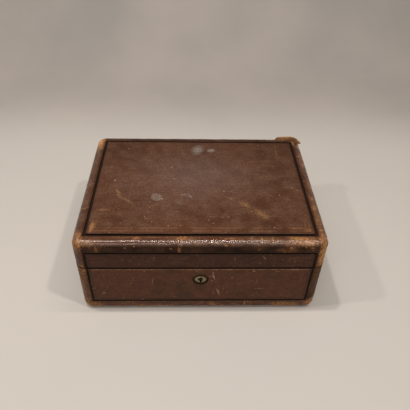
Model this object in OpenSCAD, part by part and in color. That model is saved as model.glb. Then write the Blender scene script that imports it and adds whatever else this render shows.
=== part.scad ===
// A leather-covered hinged case: a dovetailed wooden carcass under leather edging and inset leather
// panels with dark grooves between them, stop hinges along the back, and a box lock in front.
// The origin is the centre of the underside, +X runs to the right, the front faces -Y, +Z is up.

/* [Case] */
// Width over the leather, side to side
case_w = 310; // [260:1:380]
// Depth over the leather, front to back
case_d = 232; // [190:1:300]
// Height of the base, from the surface that it stands on to its rim
base_h = 81.2; // [72:0.2:120]
// Height of the lid, from its rim to the top of its edging
lid_h = 42.6; // [38:0.2:70]
// Radius of the four upright corners
corner_r = 13; // [10.5:0.5:13.5]
// Radius of the rolled top edge
top_edge_r = 9; // [5:0.5:10]
// Radius of the edge round the foot
foot_edge_r = 9; // [5:0.5:10]
// Gap between the two rims when the lid is down
rim_gap = 0.4; // [0.3:0.1:1]

/* [Carcass] */
// Thickness of the upright boards
wall_t = 9; // [8.6:0.2:12]
// Thickness of the lid's top board
top_board_t = 6; // [5:0.5:9]
// Thickness of the bottom board
bottom_board_t = 6; // [5:0.5:9]
// Height of wall that one dovetail takes
tail_pitch = 18; // [12:1:30]
// Flare of a dovetail on each flank, in degrees
tail_flare = 9; // [6:1:14]

/* [Leather] */
// Thickness of the edging and of the wall panels
leather_t = 2.4; // [2:0.1:3]
// Radius at which the leather turns over a rim
rim_turn_r = 0.8; // [0.3:0.1:1.2]
// Width of the edging on the lid's top face
top_band_w = 13.4; // [12:0.2:20]
// How far the edging comes down the lid's walls
top_band_drop = 15.4; // [11:0.2:18]
// How far the foot edging comes up the base's walls
foot_band_rise = 16.6; // [11:0.2:26]
// Width of the foot edging on the underside
foot_band_w = 14; // [11:0.5:24]
// Width of an upright corner band on each wall
corner_band_w = 14; // [13.6:0.2:20]
// Width of the groove round the top panel
top_groove_w = 3; // [1.5:0.1:5]
// Depth of the groove round the top panel
top_groove_depth = 1.8; // [1:0.1:1.9]
// Width of the grooves round the wall panels
wall_groove_w = 1.8; // [1:0.1:3]
// Depth of the grooves round the wall panels
wall_groove_depth = 1.2; // [0.6:0.1:1.8]
// How far the top panel stands above the edging
top_panel_proud = 1; // [0.2:0.1:3]
// Radius of the top panel's upper edge
top_panel_edge_r = 1.2; // [0.4:0.1:1.8]
// Thickness of the leather that faces the two rims
rim_facing_t = 0.8; // [0.5:0.1:1]
// Height of the underside's cover above the surface that the case stands on
underside_recess = 0.4; // [0.2:0.1:1]

/* [Lining] */
// Thickness of the lining boards with their cloth
lining_t = 2.5; // [2:0.1:4]
// How far the base's lining stands above the rim, to guide the lid
lip_h = 4; // [2:0.5:6]
// Room between that lip and the inside of the lid's walls
lip_play = 0.6; // [0.4:0.1:1]
// Room above that lip, under the lid's own lining
lip_room = 0.8; // [0.4:0.1:2]
// Thickness of the pad on the floor
floor_pad_t = 3; // [2:0.5:8]
// Thickness of the pad under the lid
lid_pad_t = 5; // [3:0.5:10]
// Radius of the pads' rounded edge
pad_edge_r = 1.8; // [0.5:0.1:1.9]

/* [Hinges] */
// Distance of a hinge's outer end from the side of the case
hinge_from_side = 40; // [32:1:50]
// Length of a hinge
hinge_l = 50; // [40:1:60]
// Width of a leaf, from the pin's axis
leaf_w = 7.6; // [7.2:0.1:8]
// Thickness of a leaf
leaf_t = 1.2; // [1:0.1:1.6]
// Radius of the knuckles
knuckle_r = 2.8; // [2.4:0.1:2.9]
// Radius of the pin
pin_r = 1.5; // [1:0.1:1.7]
// Distance of the pin's axis from the back face
axis_inset = 3.2; // [3.2:0.1:3.6]
// Angle to which the lid opens before the bevelled back edges meet
open_angle = 100; // [92:1:108]
// Radius of a screw's shank
screw_r = 1.1; // [0.8:0.1:1.2]
// Length of a screw
screw_l = 9; // [6:0.5:14]

/* [Lock] */
// Width of the lock's body
lock_w = 60; // [58:1:70]
// Height of the lock's body below the rim
lock_h = 34; // [31:0.5:44]
// Thickness of the lock's body, front to back
lock_t = 7.4; // [7:0.1:7.8]
// Thickness of the lock's plates
plate_t = 1.2; // [1.1:0.1:1.4]
// Width of the plates on the two rims
rim_plate_w = 8.4; // [8:0.1:8.6]
// Distance of the keyhole's centre below the rim
keyhole_drop = 21.3; // [20.8:0.1:24]
// Radius of the keyhole's round part
keyhole_r = 3.2; // [3.1:0.1:3.6]
// Width of the keyhole's slot
keyslot_w = 2.4; // [1.6:0.1:3]
// Length of the keyhole's slot, from the centre
keyslot_l = 6; // [5.6:0.1:7]
// Radius of the escutcheon
escutcheon_r = 9; // [8.2:0.1:12]
// Radius of the escutcheon's domed face
dome_r = 40; // [36:1:120]
// Width of the dark ring round the escutcheon
escutcheon_ring_w = 1.2; // [0.4:0.1:2]
// Distance between the middles of the two lugs
lug_spacing = 30; // [28:1:34]
// Width of a lug
lug_w = 8; // [7:0.5:9]
// Travel of the bolt
bolt_travel = 4.4; // [3:0.1:4.6]
// Thickness of the bolt and of the lugs
bolt_t = 3; // [2.4:0.1:3.2]

/* [Hidden] */
$fn = 48;

LEATHER = "#4a2b20";
EDGING = "#5a3424";
WOOD = "#b58a58";
BRASS = "#b39a5c";
STEEL = "#8b8b88";
CLOTH = "#541c26";

// Fits
slack = 0.05;        // glue line, or fit between two pieces that do not move
play = 0.3;          // room beside a piece that moves
over = 1;            // how far a cut runs past the face that it opens
stop_margin = 2;     // degrees left between the bevels when the lid is fully open

// Heights
lid_z = base_h + rim_gap;
top_z = lid_z + lid_h;
base_wall_z = leather_t + bottom_board_t + 2 * slack;
base_wall_top = base_h - rim_facing_t - slack;
lid_wall_z = lid_z + rim_facing_t + slack;
lid_wall_top = top_z - leather_t - top_board_t - 2 * slack;
base_panel_z = foot_band_rise + wall_groove_w;
lid_panel_top = top_z - top_band_drop - wall_groove_w;
lip_top = base_h + lip_h;
lid_lining_z = lip_top + lip_room;

// Distances in from the outer faces
wood_in = leather_t + slack;
cavity_in = wood_in + wall_t;
lining_in = cavity_in + slack;
lined_in = lining_in + lining_t;
panel_in = corner_band_w + wall_groove_w;
top_panel_in = top_band_w + top_groove_w;

// Hinges
axis_y = case_d / 2 - axis_inset;
axis_z = base_h + rim_gap / 2;
hinge_x = case_w / 2 - hinge_from_side - hinge_l / 2;
bevel_angle = (open_angle + stop_margin) / 2;
barrel_room = knuckle_r + play;          // radius of the hollow round the knuckles
knuckle_count = 5;
knuckle_pitch = hinge_l / knuckle_count;
screw_head_r = 1.75 * screw_r;
screw_head_h = screw_head_r - screw_r;
screw_slot_w = 0.4;
screw_slot_depth = 0.5;
hinge_screw_y = (leaf_w + barrel_room) / 2;
hinge_screw_xs = [-hinge_l / 3, 0, hinge_l / 3];

// Lock, in its own frame: y = 0 is the inner face of the front board, z = 0 is the base's rim.
// Distances named below a line are positive downwards.
lock_y = -(case_d / 2 - cavity_in);
cap_wall = 1;
rim_plate_l = lock_w + 16;
rim_screw_x = lock_w / 2 + 4;
rim_screw_y = -rim_plate_w / 2;
bolt_y = -(lock_t + plate_t - cap_wall + bolt_t) / 2;      // front face of the bolt
bolt_bar_h = 5.8;
bolt_from_key = 4;                                         // key's axis to the bolt's lower edge
bolt_bottom = keyhole_drop - bolt_from_key;
bolt_top = bolt_bottom - bolt_bar_h;
bit_reach = keyslot_l - play;                              // key's axis to the end of its bit
talon_w = 2 * sqrt(pow(bit_reach, 2) - pow(bolt_from_key, 2)) + keyslot_w - bolt_travel;
talon_h = bit_reach - bolt_from_key + 2 * play;
lug_room = 1.1;                                            // lug's end to the bolt's upper edge
lug_h = bolt_top - lug_room;
lug_toe_h = 3;
lug_notch_h = 4.4;
lug_notch_w = 5;
lug_neck = lug_h - lug_toe_h - lug_notch_h;
finger_gap = 0.4;
finger_h = lug_notch_h - 2 * finger_gap;
finger_post_w = 3;
finger_l = bolt_travel + finger_post_w;
finger_tips = [for (side = [-1, 1]) side * lug_spacing / 2 - lug_w / 2 - finger_gap];
bolt_left = finger_tips[0] - finger_l;
bolt_right = finger_tips[1] + lug_w;
stump_r = 1.4;
stump_xs = [-17, 13];
stump_z = (bolt_top + bolt_bottom) / 2;
ward_r = 4.3;
ward_t = 0.8;
ward_h = 0.8;
key_pilot_r = 1.6;
collar_r = keyslot_l + 0.8;
dome_facets = 240;
spring_t = 0.5;
spring_bend_r = 4;
spring_reach = 10;

// Outlines and blocks

// A wall seen from its end: x runs outwards and y upwards, with its two outer corners rounded.
module edge_outline(w, h, upper_r, lower_r) difference() {
    square([w, h]);
    if (upper_r > 0)
        translate([w - upper_r, h - upper_r]) outside_of_round(upper_r);
    if (lower_r > 0)
        translate([w - lower_r, lower_r]) mirror([0, 1]) outside_of_round(lower_r);
}

module outside_of_round(r) difference() {
    square(r + over);
    circle(r);
}

// A block on z = 0 with rounded upright corners and rounded upper and lower edges.
module rounded_block(w, d, h, r, upper_r = 0, lower_r = 0) {
    flat_w = w - 2 * r;
    flat_d = d - 2 * r;
    translate([-flat_w / 2, -flat_d / 2, 0]) cube([flat_w, flat_d, h]);
    for (turn = [0 : 3]) {
        reach = (turn % 2 == 0 ? flat_w : flat_d) / 2;
        run = turn % 2 == 0 ? flat_d : flat_w;
        rotate([0, 0, 90 * turn]) translate([reach, run / 2, 0]) {
            rotate([90, 0, 0]) linear_extrude(run) edge_outline(r, h, upper_r, lower_r);
            rotate_extrude(angle = 90) edge_outline(r, h, upper_r, lower_r);
        }
    }
}

// A slab across the whole case from z0 to z1, set in by the same distance on all four sides.
module slab(inset, z0, z1) translate([-case_w / 2 + inset, -case_d / 2 + inset, z0])
    cube([case_w - 2 * inset, case_d - 2 * inset, z1 - z0]);

module base_outer() rounded_block(case_w, case_d, base_h, corner_r, rim_turn_r, foot_edge_r);

// The base less a skin of the given thickness. It runs on above the rim, where there is no skin.
module base_inner(inset) translate([0, 0, inset])
    rounded_block(case_w - 2 * inset, case_d - 2 * inset, base_h - inset + over,
                  corner_r - inset, 0, foot_edge_r - inset);

module lid_outer() translate([0, 0, lid_z])
    rounded_block(case_w, case_d, lid_h, corner_r, top_edge_r, rim_turn_r);

// The lid less a skin of the given thickness. It runs on below the rim.
module lid_inner(inset) translate([0, 0, lid_z - over])
    rounded_block(case_w - 2 * inset, case_d - 2 * inset, lid_h - inset + over,
                  corner_r - inset, top_edge_r - inset, 0);

// The wedge between the bevelled back edges. The bevels meet when the lid is open, and so stop it.
module stop_wedge() {
    reach = axis_inset + over;
    rise = reach * tan(bevel_angle);
    translate([-case_w / 2 - over, axis_y, axis_z]) rotate([90, 0, 90])
        linear_extrude(case_w + 2 * over) polygon([[0, 0], [reach, -rise], [reach, rise]]);
}

// Carcass

// The tails at the end of a side board. x runs along the board to its end, y is up.
module tails(z0, z1) {
    count = max(2, round((z1 - z0) / tail_pitch));
    pitch = (z1 - z0) / count;
    flare = wall_t * tan(tail_flare);
    root = (pitch - flare) / 2;
    for (i = [0 : count - 1])
        translate([0, z0 + (i + 0.5) * pitch])
            polygon([[0, -root / 2], [wall_t, -root / 2 - flare], [wall_t, root / 2 + flare], [0, root / 2]]);
}

// Where the tails of both side boards pass through the front and back boards.
module all_tails(z0, z1) for (side = [-1, 1]) for (end = [0, 1]) mirror([0, end, 0])
    translate([side * (case_w / 2 - wood_in - wall_t / 2) - wall_t / 2, -(case_d / 2 - cavity_in), 0])
        rotate([90, 0, 90]) linear_extrude(wall_t) mirror([1, 0]) tails(z0, z1);

// side is -1 for the left board and 1 for the right one.
module side_board(side, z0, z1) difference() {
    union() {
        translate([side * (case_w / 2 - wood_in - wall_t / 2) - wall_t / 2,
                   -(case_d / 2 - cavity_in), z0])
            cube([wall_t, case_d - 2 * cavity_in, z1 - z0]);
        intersection() {
            all_tails(z0, z1);
            translate([(side - 1) * case_w / 4, -case_d / 2, z0]) cube([case_w / 2, case_d, z1 - z0]);
        }
    }
    stop_wedge();
}

// side is -1 for the front board and 1 for the back one.
module end_board(side, z0, z1) difference() {
    translate([-case_w / 2 + wood_in, side * (case_d / 2 - wood_in - wall_t / 2) - wall_t / 2, z0])
        cube([case_w - 2 * wood_in, wall_t, z1 - z0]);
    all_tails(z0, z1);
    stop_wedge();
}

module base_side_board(side) intersection() {
    base_inner(wood_in);
    side_board(side, base_wall_z, base_wall_top);
}

module base_end_board(side) intersection() {
    base_inner(wood_in);
    end_board(side, base_wall_z, base_wall_top);
}

module lid_side_board(side) intersection() {
    lid_inner(wood_in);
    side_board(side, lid_wall_z, lid_wall_top);
}

module lid_end_board(side) intersection() {
    lid_inner(wood_in);
    end_board(side, lid_wall_z, lid_wall_top);
}

module base_left_board() color(WOOD) base_side_board(-1);

module base_right_board() color(WOOD) base_side_board(1);

module base_front_board() color(WOOD) difference() {
    base_end_board(-1);
    lock_mortise();
}

module base_back_board() color(WOOD) difference() {
    base_end_board(1);
    hinge_hollows();
}

module base_bottom_board() color(WOOD) intersection() {
    base_inner(wood_in);
    slab(0, 0, base_wall_z - slack);
}

module lid_left_board() color(WOOD) lid_side_board(-1);

module lid_right_board() color(WOOD) lid_side_board(1);

module lid_front_board() color(WOOD) difference() {
    lid_end_board(-1);
    link_recess();
}

module lid_back_board() color(WOOD) difference() {
    lid_end_board(1);
    hinge_hollows();
}

module lid_top_board() color(WOOD) intersection() {
    lid_inner(wood_in);
    slab(0, lid_wall_top + slack, top_z);
}

// Leather on the walls

// A wall panel of a given length on the side that faces -Y, a given distance from the middle.
// Its rim edge turns over, at the top for the base and at the bottom for the lid.
module wall_panel(length, from_middle, z0, z1, rim_up)
    translate([length / 2, -from_middle + leather_t, z0]) rotate([90, 0, -90]) linear_extrude(length)
        edge_outline(leather_t, z1 - z0, rim_up ? rim_turn_r : 0, rim_up ? 0 : rim_turn_r);

module base_wall_panel(across, from_middle)
    wall_panel(across - 2 * (panel_in + slack), from_middle, base_panel_z + slack, base_h, true);

module lid_wall_panel(across, from_middle)
    wall_panel(across - 2 * (panel_in + slack), from_middle, lid_z, lid_panel_top - slack, false);

module base_front_panel() color(LEATHER) difference() {
    base_wall_panel(case_w, case_d / 2);
    translate([0, -case_d / 2, base_h - keyhole_drop]) rotate([90, 0, 0])
        cylinder(r = escutcheon_r + escutcheon_ring_w, h = 2 * (leather_t + over), center = true);
}

module base_back_panel() color(LEATHER) difference() {
    rotate([0, 0, 180]) base_wall_panel(case_w, case_d / 2);
    stop_wedge();
    hinge_hollows();
}

module base_left_panel() color(LEATHER) rotate([0, 0, -90]) base_wall_panel(case_d, case_w / 2);

module base_right_panel() color(LEATHER) rotate([0, 0, 90]) base_wall_panel(case_d, case_w / 2);

module lid_front_panel() color(LEATHER) lid_wall_panel(case_w, case_d / 2);

module lid_back_panel() color(LEATHER) difference() {
    rotate([0, 0, 180]) lid_wall_panel(case_w, case_d / 2);
    stop_wedge();
    hinge_hollows();
}

module lid_left_panel() color(LEATHER) rotate([0, 0, -90]) lid_wall_panel(case_d, case_w / 2);

module lid_right_panel() color(LEATHER) rotate([0, 0, 90]) lid_wall_panel(case_d, case_w / 2);

// A corner band seen from its end, with x from the centre of the corner's turn.
module corner_band_outline(h, rim_up) translate([corner_r - leather_t, 0])
    edge_outline(leather_t, h, rim_up ? rim_turn_r : 0, rim_up ? 0 : rim_turn_r);

// An upright corner band between z0 and z1: a quarter turn with a flat on each wall and the thin
// margin that lies under each groove. side_x and side_y are -1 or 1 and pick the corner.
module corner_band(side_x, side_y, z0, z1, rim_up) {
    flat = corner_band_w - corner_r;
    h = z1 - z0;
    margin_t = leather_t - wall_groove_depth;
    margin_h = h - wall_groove_w;
    margin_z = rim_up ? wall_groove_w : 0;
    mirror([side_x < 0 ? 1 : 0, 0, 0]) mirror([0, side_y < 0 ? 1 : 0, 0])
        translate([case_w / 2 - corner_r, case_d / 2 - corner_r, z0]) {
            rotate_extrude(angle = 90) corner_band_outline(h, rim_up);
            rotate([90, 0, 0]) linear_extrude(flat) corner_band_outline(h, rim_up);
            mirror([1, -1, 0]) rotate([90, 0, 0]) linear_extrude(flat) corner_band_outline(h, rim_up);
            translate([corner_r - leather_t, -flat - wall_groove_w, margin_z])
                cube([margin_t, wall_groove_w, margin_h]);
            translate([-flat - wall_groove_w, corner_r - leather_t, margin_z])
                cube([wall_groove_w, margin_t, margin_h]);
        }
}

module base_corner(side_x, side_y) difference() {
    corner_band(side_x, side_y, foot_band_rise + slack, base_h, true);
    stop_wedge();
}

module lid_corner(side_x, side_y) difference() {
    corner_band(side_x, side_y, lid_z, top_z - top_band_drop - slack, false);
    stop_wedge();
}

module base_corner_front_left() color(EDGING) base_corner(-1, -1);

module base_corner_front_right() color(EDGING) base_corner(1, -1);

module base_corner_back_left() color(EDGING) base_corner(-1, 1);

module base_corner_back_right() color(EDGING) base_corner(1, 1);

module lid_corner_front_left() color(EDGING) lid_corner(-1, -1);

module lid_corner_front_right() color(EDGING) lid_corner(1, -1);

module lid_corner_back_left() color(EDGING) lid_corner(-1, 1);

module lid_corner_back_right() color(EDGING) lid_corner(1, 1);

// Leather on the top, the foot and the rims

// What an edging ring leaves free between z0 and z1: the corners, where the corner bands reach up
// to it, and the depth of the groove along each wall.
module groove_zone(z0, z1) {
    for (side_x = [-1, 1], side_y = [-1, 1])
        translate([side_x * case_w / 2 - corner_band_w, side_y * case_d / 2 - corner_band_w, z0])
            cube([2 * corner_band_w, 2 * corner_band_w, z1 - z0]);
    for (side = [-1, 1]) {
        translate([side * case_w / 2 - wall_groove_depth, -case_d / 2, z0])
            cube([2 * wall_groove_depth, case_d, z1 - z0]);
        translate([-case_w / 2, side * case_d / 2 - wall_groove_depth, z0])
            cube([case_w, 2 * wall_groove_depth, z1 - z0]);
    }
}

module lid_top_edging() color(EDGING) difference() {
    lid_outer();
    lid_inner(leather_t);
    slab(-over, lid_z - over, lid_panel_top);
    slab(top_panel_in, lid_panel_top - over, top_z + over);
    slab(top_band_w, top_z - top_groove_depth, top_z + over);
    groove_zone(lid_panel_top - over, top_z - top_band_drop);
}

module lid_top_panel() color(LEATHER) translate([0, 0, top_z - leather_t])
    rounded_block(case_w - 2 * (top_panel_in + slack), case_d - 2 * (top_panel_in + slack),
                  leather_t + top_panel_proud, 2 * top_panel_edge_r, top_panel_edge_r);

module base_foot_edging() color(EDGING) difference() {
    base_outer();
    base_inner(leather_t);
    slab(-over, base_panel_z, base_h + over);
    slab(foot_band_w, -over, base_h);
    groove_zone(foot_band_rise, base_panel_z + over);
}

module base_underside_cover() color(CLOTH) slab(foot_band_w + slack, underside_recess, leather_t);

// The leather that covers a rim, from the outer face of the boards to the lining.
module rim_facing(z0) difference() {
    translate([0, 0, z0])
        rounded_block(case_w - 2 * wood_in, case_d - 2 * wood_in, rim_facing_t, corner_r - wood_in);
    slab(cavity_in, z0 - over, z0 + rim_facing_t + over);
    stop_wedge();
    hinge_hollows();
}

module base_rim_facing() color(LEATHER) difference() {
    rim_facing(base_h - rim_facing_t);
    lock_mortise();
}

module lid_rim_facing() color(LEATHER) difference() {
    rim_facing(lid_z);
    link_recess();
}

// Lining

// The front lining for side -1 and the back one for side 1, over the full width.
module end_lining(side, z0, z1, outer_in) {
    w = case_w - 2 * outer_in;
    t = lined_in - outer_in;
    translate([-w / 2, side * (case_d / 2 - outer_in - t / 2) - t / 2, z0]) cube([w, t, z1 - z0]);
}

// The left lining for side -1 and the right one for side 1, between the front and back ones.
module side_lining(side, z0, z1, outer_in) {
    t = lined_in - outer_in;
    d = case_d - 2 * (lined_in + slack);
    translate([side * (case_w / 2 - outer_in - t / 2) - t / 2, -d / 2, z0]) cube([t, d, z1 - z0]);
}

// In the base each lining board goes on as a thinner lip above the rim.
module base_end_lining(side) {
    end_lining(side, base_wall_z, base_h, lining_in);
    end_lining(side, base_h - over, lip_top, lining_in + lip_play);
}

module base_side_lining(side) {
    side_lining(side, base_wall_z, base_h, lining_in);
    side_lining(side, base_h - over, lip_top, lining_in + lip_play);
}

module base_lining_front() color(CLOTH) base_end_lining(-1);

module base_lining_back() color(CLOTH) base_end_lining(1);

module base_lining_left() color(CLOTH) base_side_lining(-1);

module base_lining_right() color(CLOTH) base_side_lining(1);

module lid_lining_front() color(CLOTH) end_lining(-1, lid_lining_z, lid_wall_top, lining_in);

module lid_lining_back() color(CLOTH) end_lining(1, lid_lining_z, lid_wall_top, lining_in);

module lid_lining_left() color(CLOTH) side_lining(-1, lid_lining_z, lid_wall_top, lining_in);

module lid_lining_right() color(CLOTH) side_lining(1, lid_lining_z, lid_wall_top, lining_in);

module pad(t) rounded_block(case_w - 2 * (lined_in + slack), case_d - 2 * (lined_in + slack), t,
                            pad_edge_r + over, pad_edge_r);

module base_floor_pad() color(CLOTH) translate([0, 0, base_wall_z]) pad(floor_pad_t);

module lid_pad() color(CLOTH) translate([0, 0, lid_wall_top]) mirror([0, 0, 1]) pad(lid_pad_t);

// Hinges

module at_hinge(side) translate([side * hinge_x, axis_y, axis_z]) children();

// A countersunk wood screw with a slotted head. Its head's top is at z = 0 and its point is below.
module screw() difference() {
    union() {
        translate([0, 0, -screw_head_h]) cylinder(r1 = screw_r, r2 = screw_head_r, h = screw_head_h);
        translate([0, 0, -screw_l + screw_r]) cylinder(r = screw_r, h = screw_l - screw_r - screw_head_h);
        translate([0, 0, -screw_l]) cylinder(r1 = slack, r2 = screw_r, h = screw_r);
    }
    cube([2 * screw_head_r + over, screw_slot_w, 2 * screw_slot_depth], center = true);
}

// The countersunk hole for a screw in a plate whose face is at z = 0.
module screw_hole() {
    translate([0, 0, -screw_head_h - slack])
        cylinder(r1 = screw_r + slack, r2 = screw_head_r + slack, h = screw_head_h + slack);
    translate([0, 0, -screw_l]) cylinder(r = screw_r + slack, h = screw_l);
}

// The hollows that both hinges need in wood and leather: the leaf recesses, the room round the
// knuckles and the screw holes.
module hinge_hollows() for (side = [-1, 1]) at_hinge(side) {
    translate([-hinge_l / 2 - slack, -leaf_w - slack, -rim_gap / 2 - leaf_t - slack])
        cube([hinge_l + 2 * slack, leaf_w + slack, rim_gap + 2 * (leaf_t + slack)]);
    rotate([0, 90, 0]) cylinder(r = barrel_room, h = hinge_l + 2 * slack, center = true);
    for (x = hinge_screw_xs)
        translate([x, -hinge_screw_y, 0])
            cylinder(r = screw_r + slack, h = 2 * (screw_l + over), center = true);
}

// Cylinders along a hinge at every second knuckle, each longer than a knuckle's pitch by extra.
module every_second_knuckle(first, r, extra) for (i = [first : 2 : knuckle_count - 1])
    translate([(i + 0.5) * knuckle_pitch - hinge_l / 2, 0, 0]) rotate([0, 90, 0])
        cylinder(r = r, h = knuckle_pitch + extra, center = true);

// The leaf in the base's rim when first is 0, or the one whose mirror image lies in the lid's rim
// when first is 1. first is the number of the leaf's first knuckle.
module hinge_leaf(first) difference() {
    union() {
        difference() {
            translate([-hinge_l / 2, -leaf_w, -rim_gap / 2 - leaf_t]) cube([hinge_l, leaf_w, leaf_t]);
            every_second_knuckle(1 - first, barrel_room, play);
        }
        every_second_knuckle(first, knuckle_r, -play);
    }
    rotate([0, 90, 0]) cylinder(r = pin_r + slack, h = hinge_l + 2 * over, center = true);
    for (x = hinge_screw_xs)
        translate([x, -hinge_screw_y, -rim_gap / 2]) screw_hole();
}

module hinge_left_base_leaf() color(BRASS) at_hinge(-1) hinge_leaf(0);

module hinge_right_base_leaf() color(BRASS) at_hinge(1) hinge_leaf(0);

module hinge_left_lid_leaf() color(BRASS) at_hinge(-1) mirror([0, 0, 1]) hinge_leaf(1);

module hinge_right_lid_leaf() color(BRASS) at_hinge(1) mirror([0, 0, 1]) hinge_leaf(1);

module hinge_pins() color(STEEL) for (side = [-1, 1])
    at_hinge(side) rotate([0, 90, 0]) cylinder(r = pin_r, h = hinge_l, center = true);

module hinge_base_screws() color(BRASS) for (side = [-1, 1], x = hinge_screw_xs)
    at_hinge(side) translate([x, -hinge_screw_y, -rim_gap / 2]) screw();

module hinge_lid_screws() color(BRASS) for (side = [-1, 1], x = hinge_screw_xs)
    at_hinge(side) translate([x, -hinge_screw_y, rim_gap / 2]) mirror([0, 0, 1]) screw();

// Lock

module at_lock() translate([0, lock_y, base_h]) children();

// Gives an outline, drawn with x to the right and y up, the bolt's place and thickness.
module bolt_sheet() translate([0, bolt_y + bolt_t, 0]) rotate([90, 0, 0]) linear_extrude(bolt_t)
    children();

module keyhole_outline() {
    circle(keyhole_r);
    translate([-keyslot_w / 2, -keyslot_l]) square([keyslot_w, keyslot_l]);
}

// The mortise in the front board and in the leather of its rim, and the bore for the collar.
module lock_mortise() at_lock() {
    translate([-lock_w / 2 - slack, -lock_t - slack, -lock_h - slack])
        cube([lock_w + 2 * slack, lock_t + slack + over, lock_h + over]);
    translate([-rim_plate_l / 2 - slack, -rim_plate_w - slack, -plate_t - slack])
        cube([rim_plate_l + 2 * slack, rim_plate_w + slack + over, plate_t + slack + over]);
    translate([0, 0, -keyhole_drop]) rotate([90, 0, 0]) cylinder(r = collar_r + slack, h = wall_t + over);
    for (side = [-1, 1])
        translate([side * rim_screw_x, rim_screw_y, -screw_l - over])
            cylinder(r = screw_r + slack, h = screw_l + over);
}

// The back plate with the plate on the rim, slotted for the lugs, and the stumps that guide the bolt.
module lock_plate() color(BRASS) at_lock() difference() {
    union() {
        translate([-lock_w / 2, -plate_t, -lock_h]) cube([lock_w, plate_t, lock_h]);
        translate([-rim_plate_l / 2, -rim_plate_w, -plate_t]) cube([rim_plate_l, rim_plate_w, plate_t]);
        for (x = stump_xs)
            translate([x, -slack, -stump_z]) rotate([90, 0, 0])
                cylinder(r = stump_r, h = lock_t - cap_wall - 2 * slack);
    }
    for (side = [-1, 1])
        translate([side * lug_spacing / 2 - lug_w / 2 - 2 * play, bolt_y - 2 * play, -plate_t - over])
            cube([lug_w + 4 * play, bolt_t + 4 * play, plate_t + 2 * over]);
    translate([0, over, -keyhole_drop]) rotate([90, 0, 0])
        cylinder(r = key_pilot_r, h = plate_t + 2 * over);
    for (side = [-1, 1])
        translate([side * rim_screw_x, rim_screw_y, 0]) screw_hole();
}

// The box over the works, with the keyhole and a ward round it.
module lock_cap() color(BRASS) at_lock() difference() {
    union() {
        difference() {
            translate([-lock_w / 2, -lock_t, -lock_h])
                cube([lock_w, lock_t - plate_t - slack, lock_h - plate_t - slack]);
            translate([-lock_w / 2 + cap_wall, -lock_t + cap_wall, -lock_h + cap_wall])
                cube([lock_w - 2 * cap_wall, lock_t, lock_h]);
        }
        translate([0, -lock_t + cap_wall + ward_h, -keyhole_drop]) rotate([90, 0, 0]) difference() {
            cylinder(r = ward_r + ward_t, h = ward_h + slack);
            translate([0, 0, -over]) cylinder(r = ward_r, h = ward_h + 2 * over);
        }
    }
    translate([0, -lock_t + cap_wall + ward_h + over, -keyhole_drop]) rotate([90, 0, 0])
        linear_extrude(cap_wall + ward_h + 2 * over) keyhole_outline();
}

// A strip that stands on the cap's floor, bends over and presses on the bolt's lower edge.
module lock_spring() color(STEEL) at_lock() bolt_sheet() {
    foot_x = -lock_w / 2 + cap_wall + slack;
    foot_z = -lock_h + cap_wall + slack;
    top = -bolt_bottom - slack;
    bend_z = top - spring_bend_r;
    translate([foot_x, foot_z]) square([spring_t, bend_z - foot_z]);
    translate([foot_x + spring_bend_r, bend_z]) intersection() {
        difference() {
            circle(spring_bend_r);
            circle(spring_bend_r - spring_t);
        }
        translate([-spring_bend_r, 0]) square(spring_bend_r);
    }
    translate([foot_x + spring_bend_r, top - spring_t]) square([spring_reach, spring_t]);
}

// The bolt: a bar on two stumps with a notch for the key, and a hooked finger beside each lug. It
// is drawn unlocked and moves towards +X to lock.
module lock_bolt() color(STEEL) at_lock() bolt_sheet() difference() {
    union() {
        translate([bolt_left, -bolt_bottom]) square([bolt_right - bolt_left, bolt_bar_h]);
        for (tip = finger_tips) {
            translate([tip - finger_l, -bolt_top - over])
                square([finger_post_w, bolt_top + over - lug_neck - finger_gap]);
            translate([tip - finger_l, -lug_neck - finger_gap - finger_h]) square([finger_l, finger_h]);
        }
    }
    translate([-(bolt_travel + talon_w) / 2, -bolt_bottom - over]) square([talon_w, talon_h + over]);
    for (x = stump_xs) {
        for (end = [0, bolt_travel])
            translate([x - end, -stump_z]) circle(stump_r + play);
        translate([x - bolt_travel, -stump_z - stump_r - play]) square([bolt_travel, 2 * (stump_r + play)]);
    }
}

module lock_screws() color(BRASS) at_lock() for (side = [-1, 1])
    translate([side * rim_screw_x, rim_screw_y, 0]) screw();

// The keyhole's disc with a low domed face, and the collar behind it that lines the key's way in.
module escutcheon() color(BRASS)
    translate([0, -case_d / 2 + leather_t, base_h - keyhole_drop]) rotate([90, 0, 0]) difference() {
        union() {
            rotate_extrude() intersection() {
                translate([0, leather_t - slack - dome_r]) circle(dome_r, $fn = dome_facets);
                square([escutcheon_r, leather_t]);
            }
            translate([0, 0, -(wall_t - lock_t)]) cylinder(r = collar_r, h = wall_t - lock_t + slack);
        }
        translate([0, 0, -wall_t]) linear_extrude(wall_t + leather_t + over) keyhole_outline();
    }

// The plate on the lid's rim, with the two notched lugs that the bolt's fingers enter.
module link_plate() color(BRASS) at_lock() {
    difference() {
        translate([-rim_plate_l / 2, -rim_plate_w, rim_gap]) cube([rim_plate_l, rim_plate_w, plate_t]);
        for (side = [-1, 1])
            translate([side * rim_screw_x, rim_screw_y, rim_gap]) mirror([0, 0, 1]) screw_hole();
    }
    for (side = [-1, 1]) translate([side * lug_spacing / 2 - lug_w / 2, 0, 0]) bolt_sheet()
        difference() {
            translate([0, -lug_h]) square([lug_w, lug_h + rim_gap + slack]);
            translate([-over, -lug_neck - lug_notch_h]) square([lug_notch_w + over, lug_notch_h]);
        }
}

// The recess for that plate and the holes for its screws.
module link_recess() at_lock() {
    translate([-rim_plate_l / 2 - slack, -rim_plate_w - slack, rim_gap - over])
        cube([rim_plate_l + 2 * slack, rim_plate_w + slack + over, plate_t + slack + over]);
    for (side = [-1, 1])
        translate([side * rim_screw_x, rim_screw_y, rim_gap])
            cylinder(r = screw_r + slack, h = screw_l + over);
}

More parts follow.
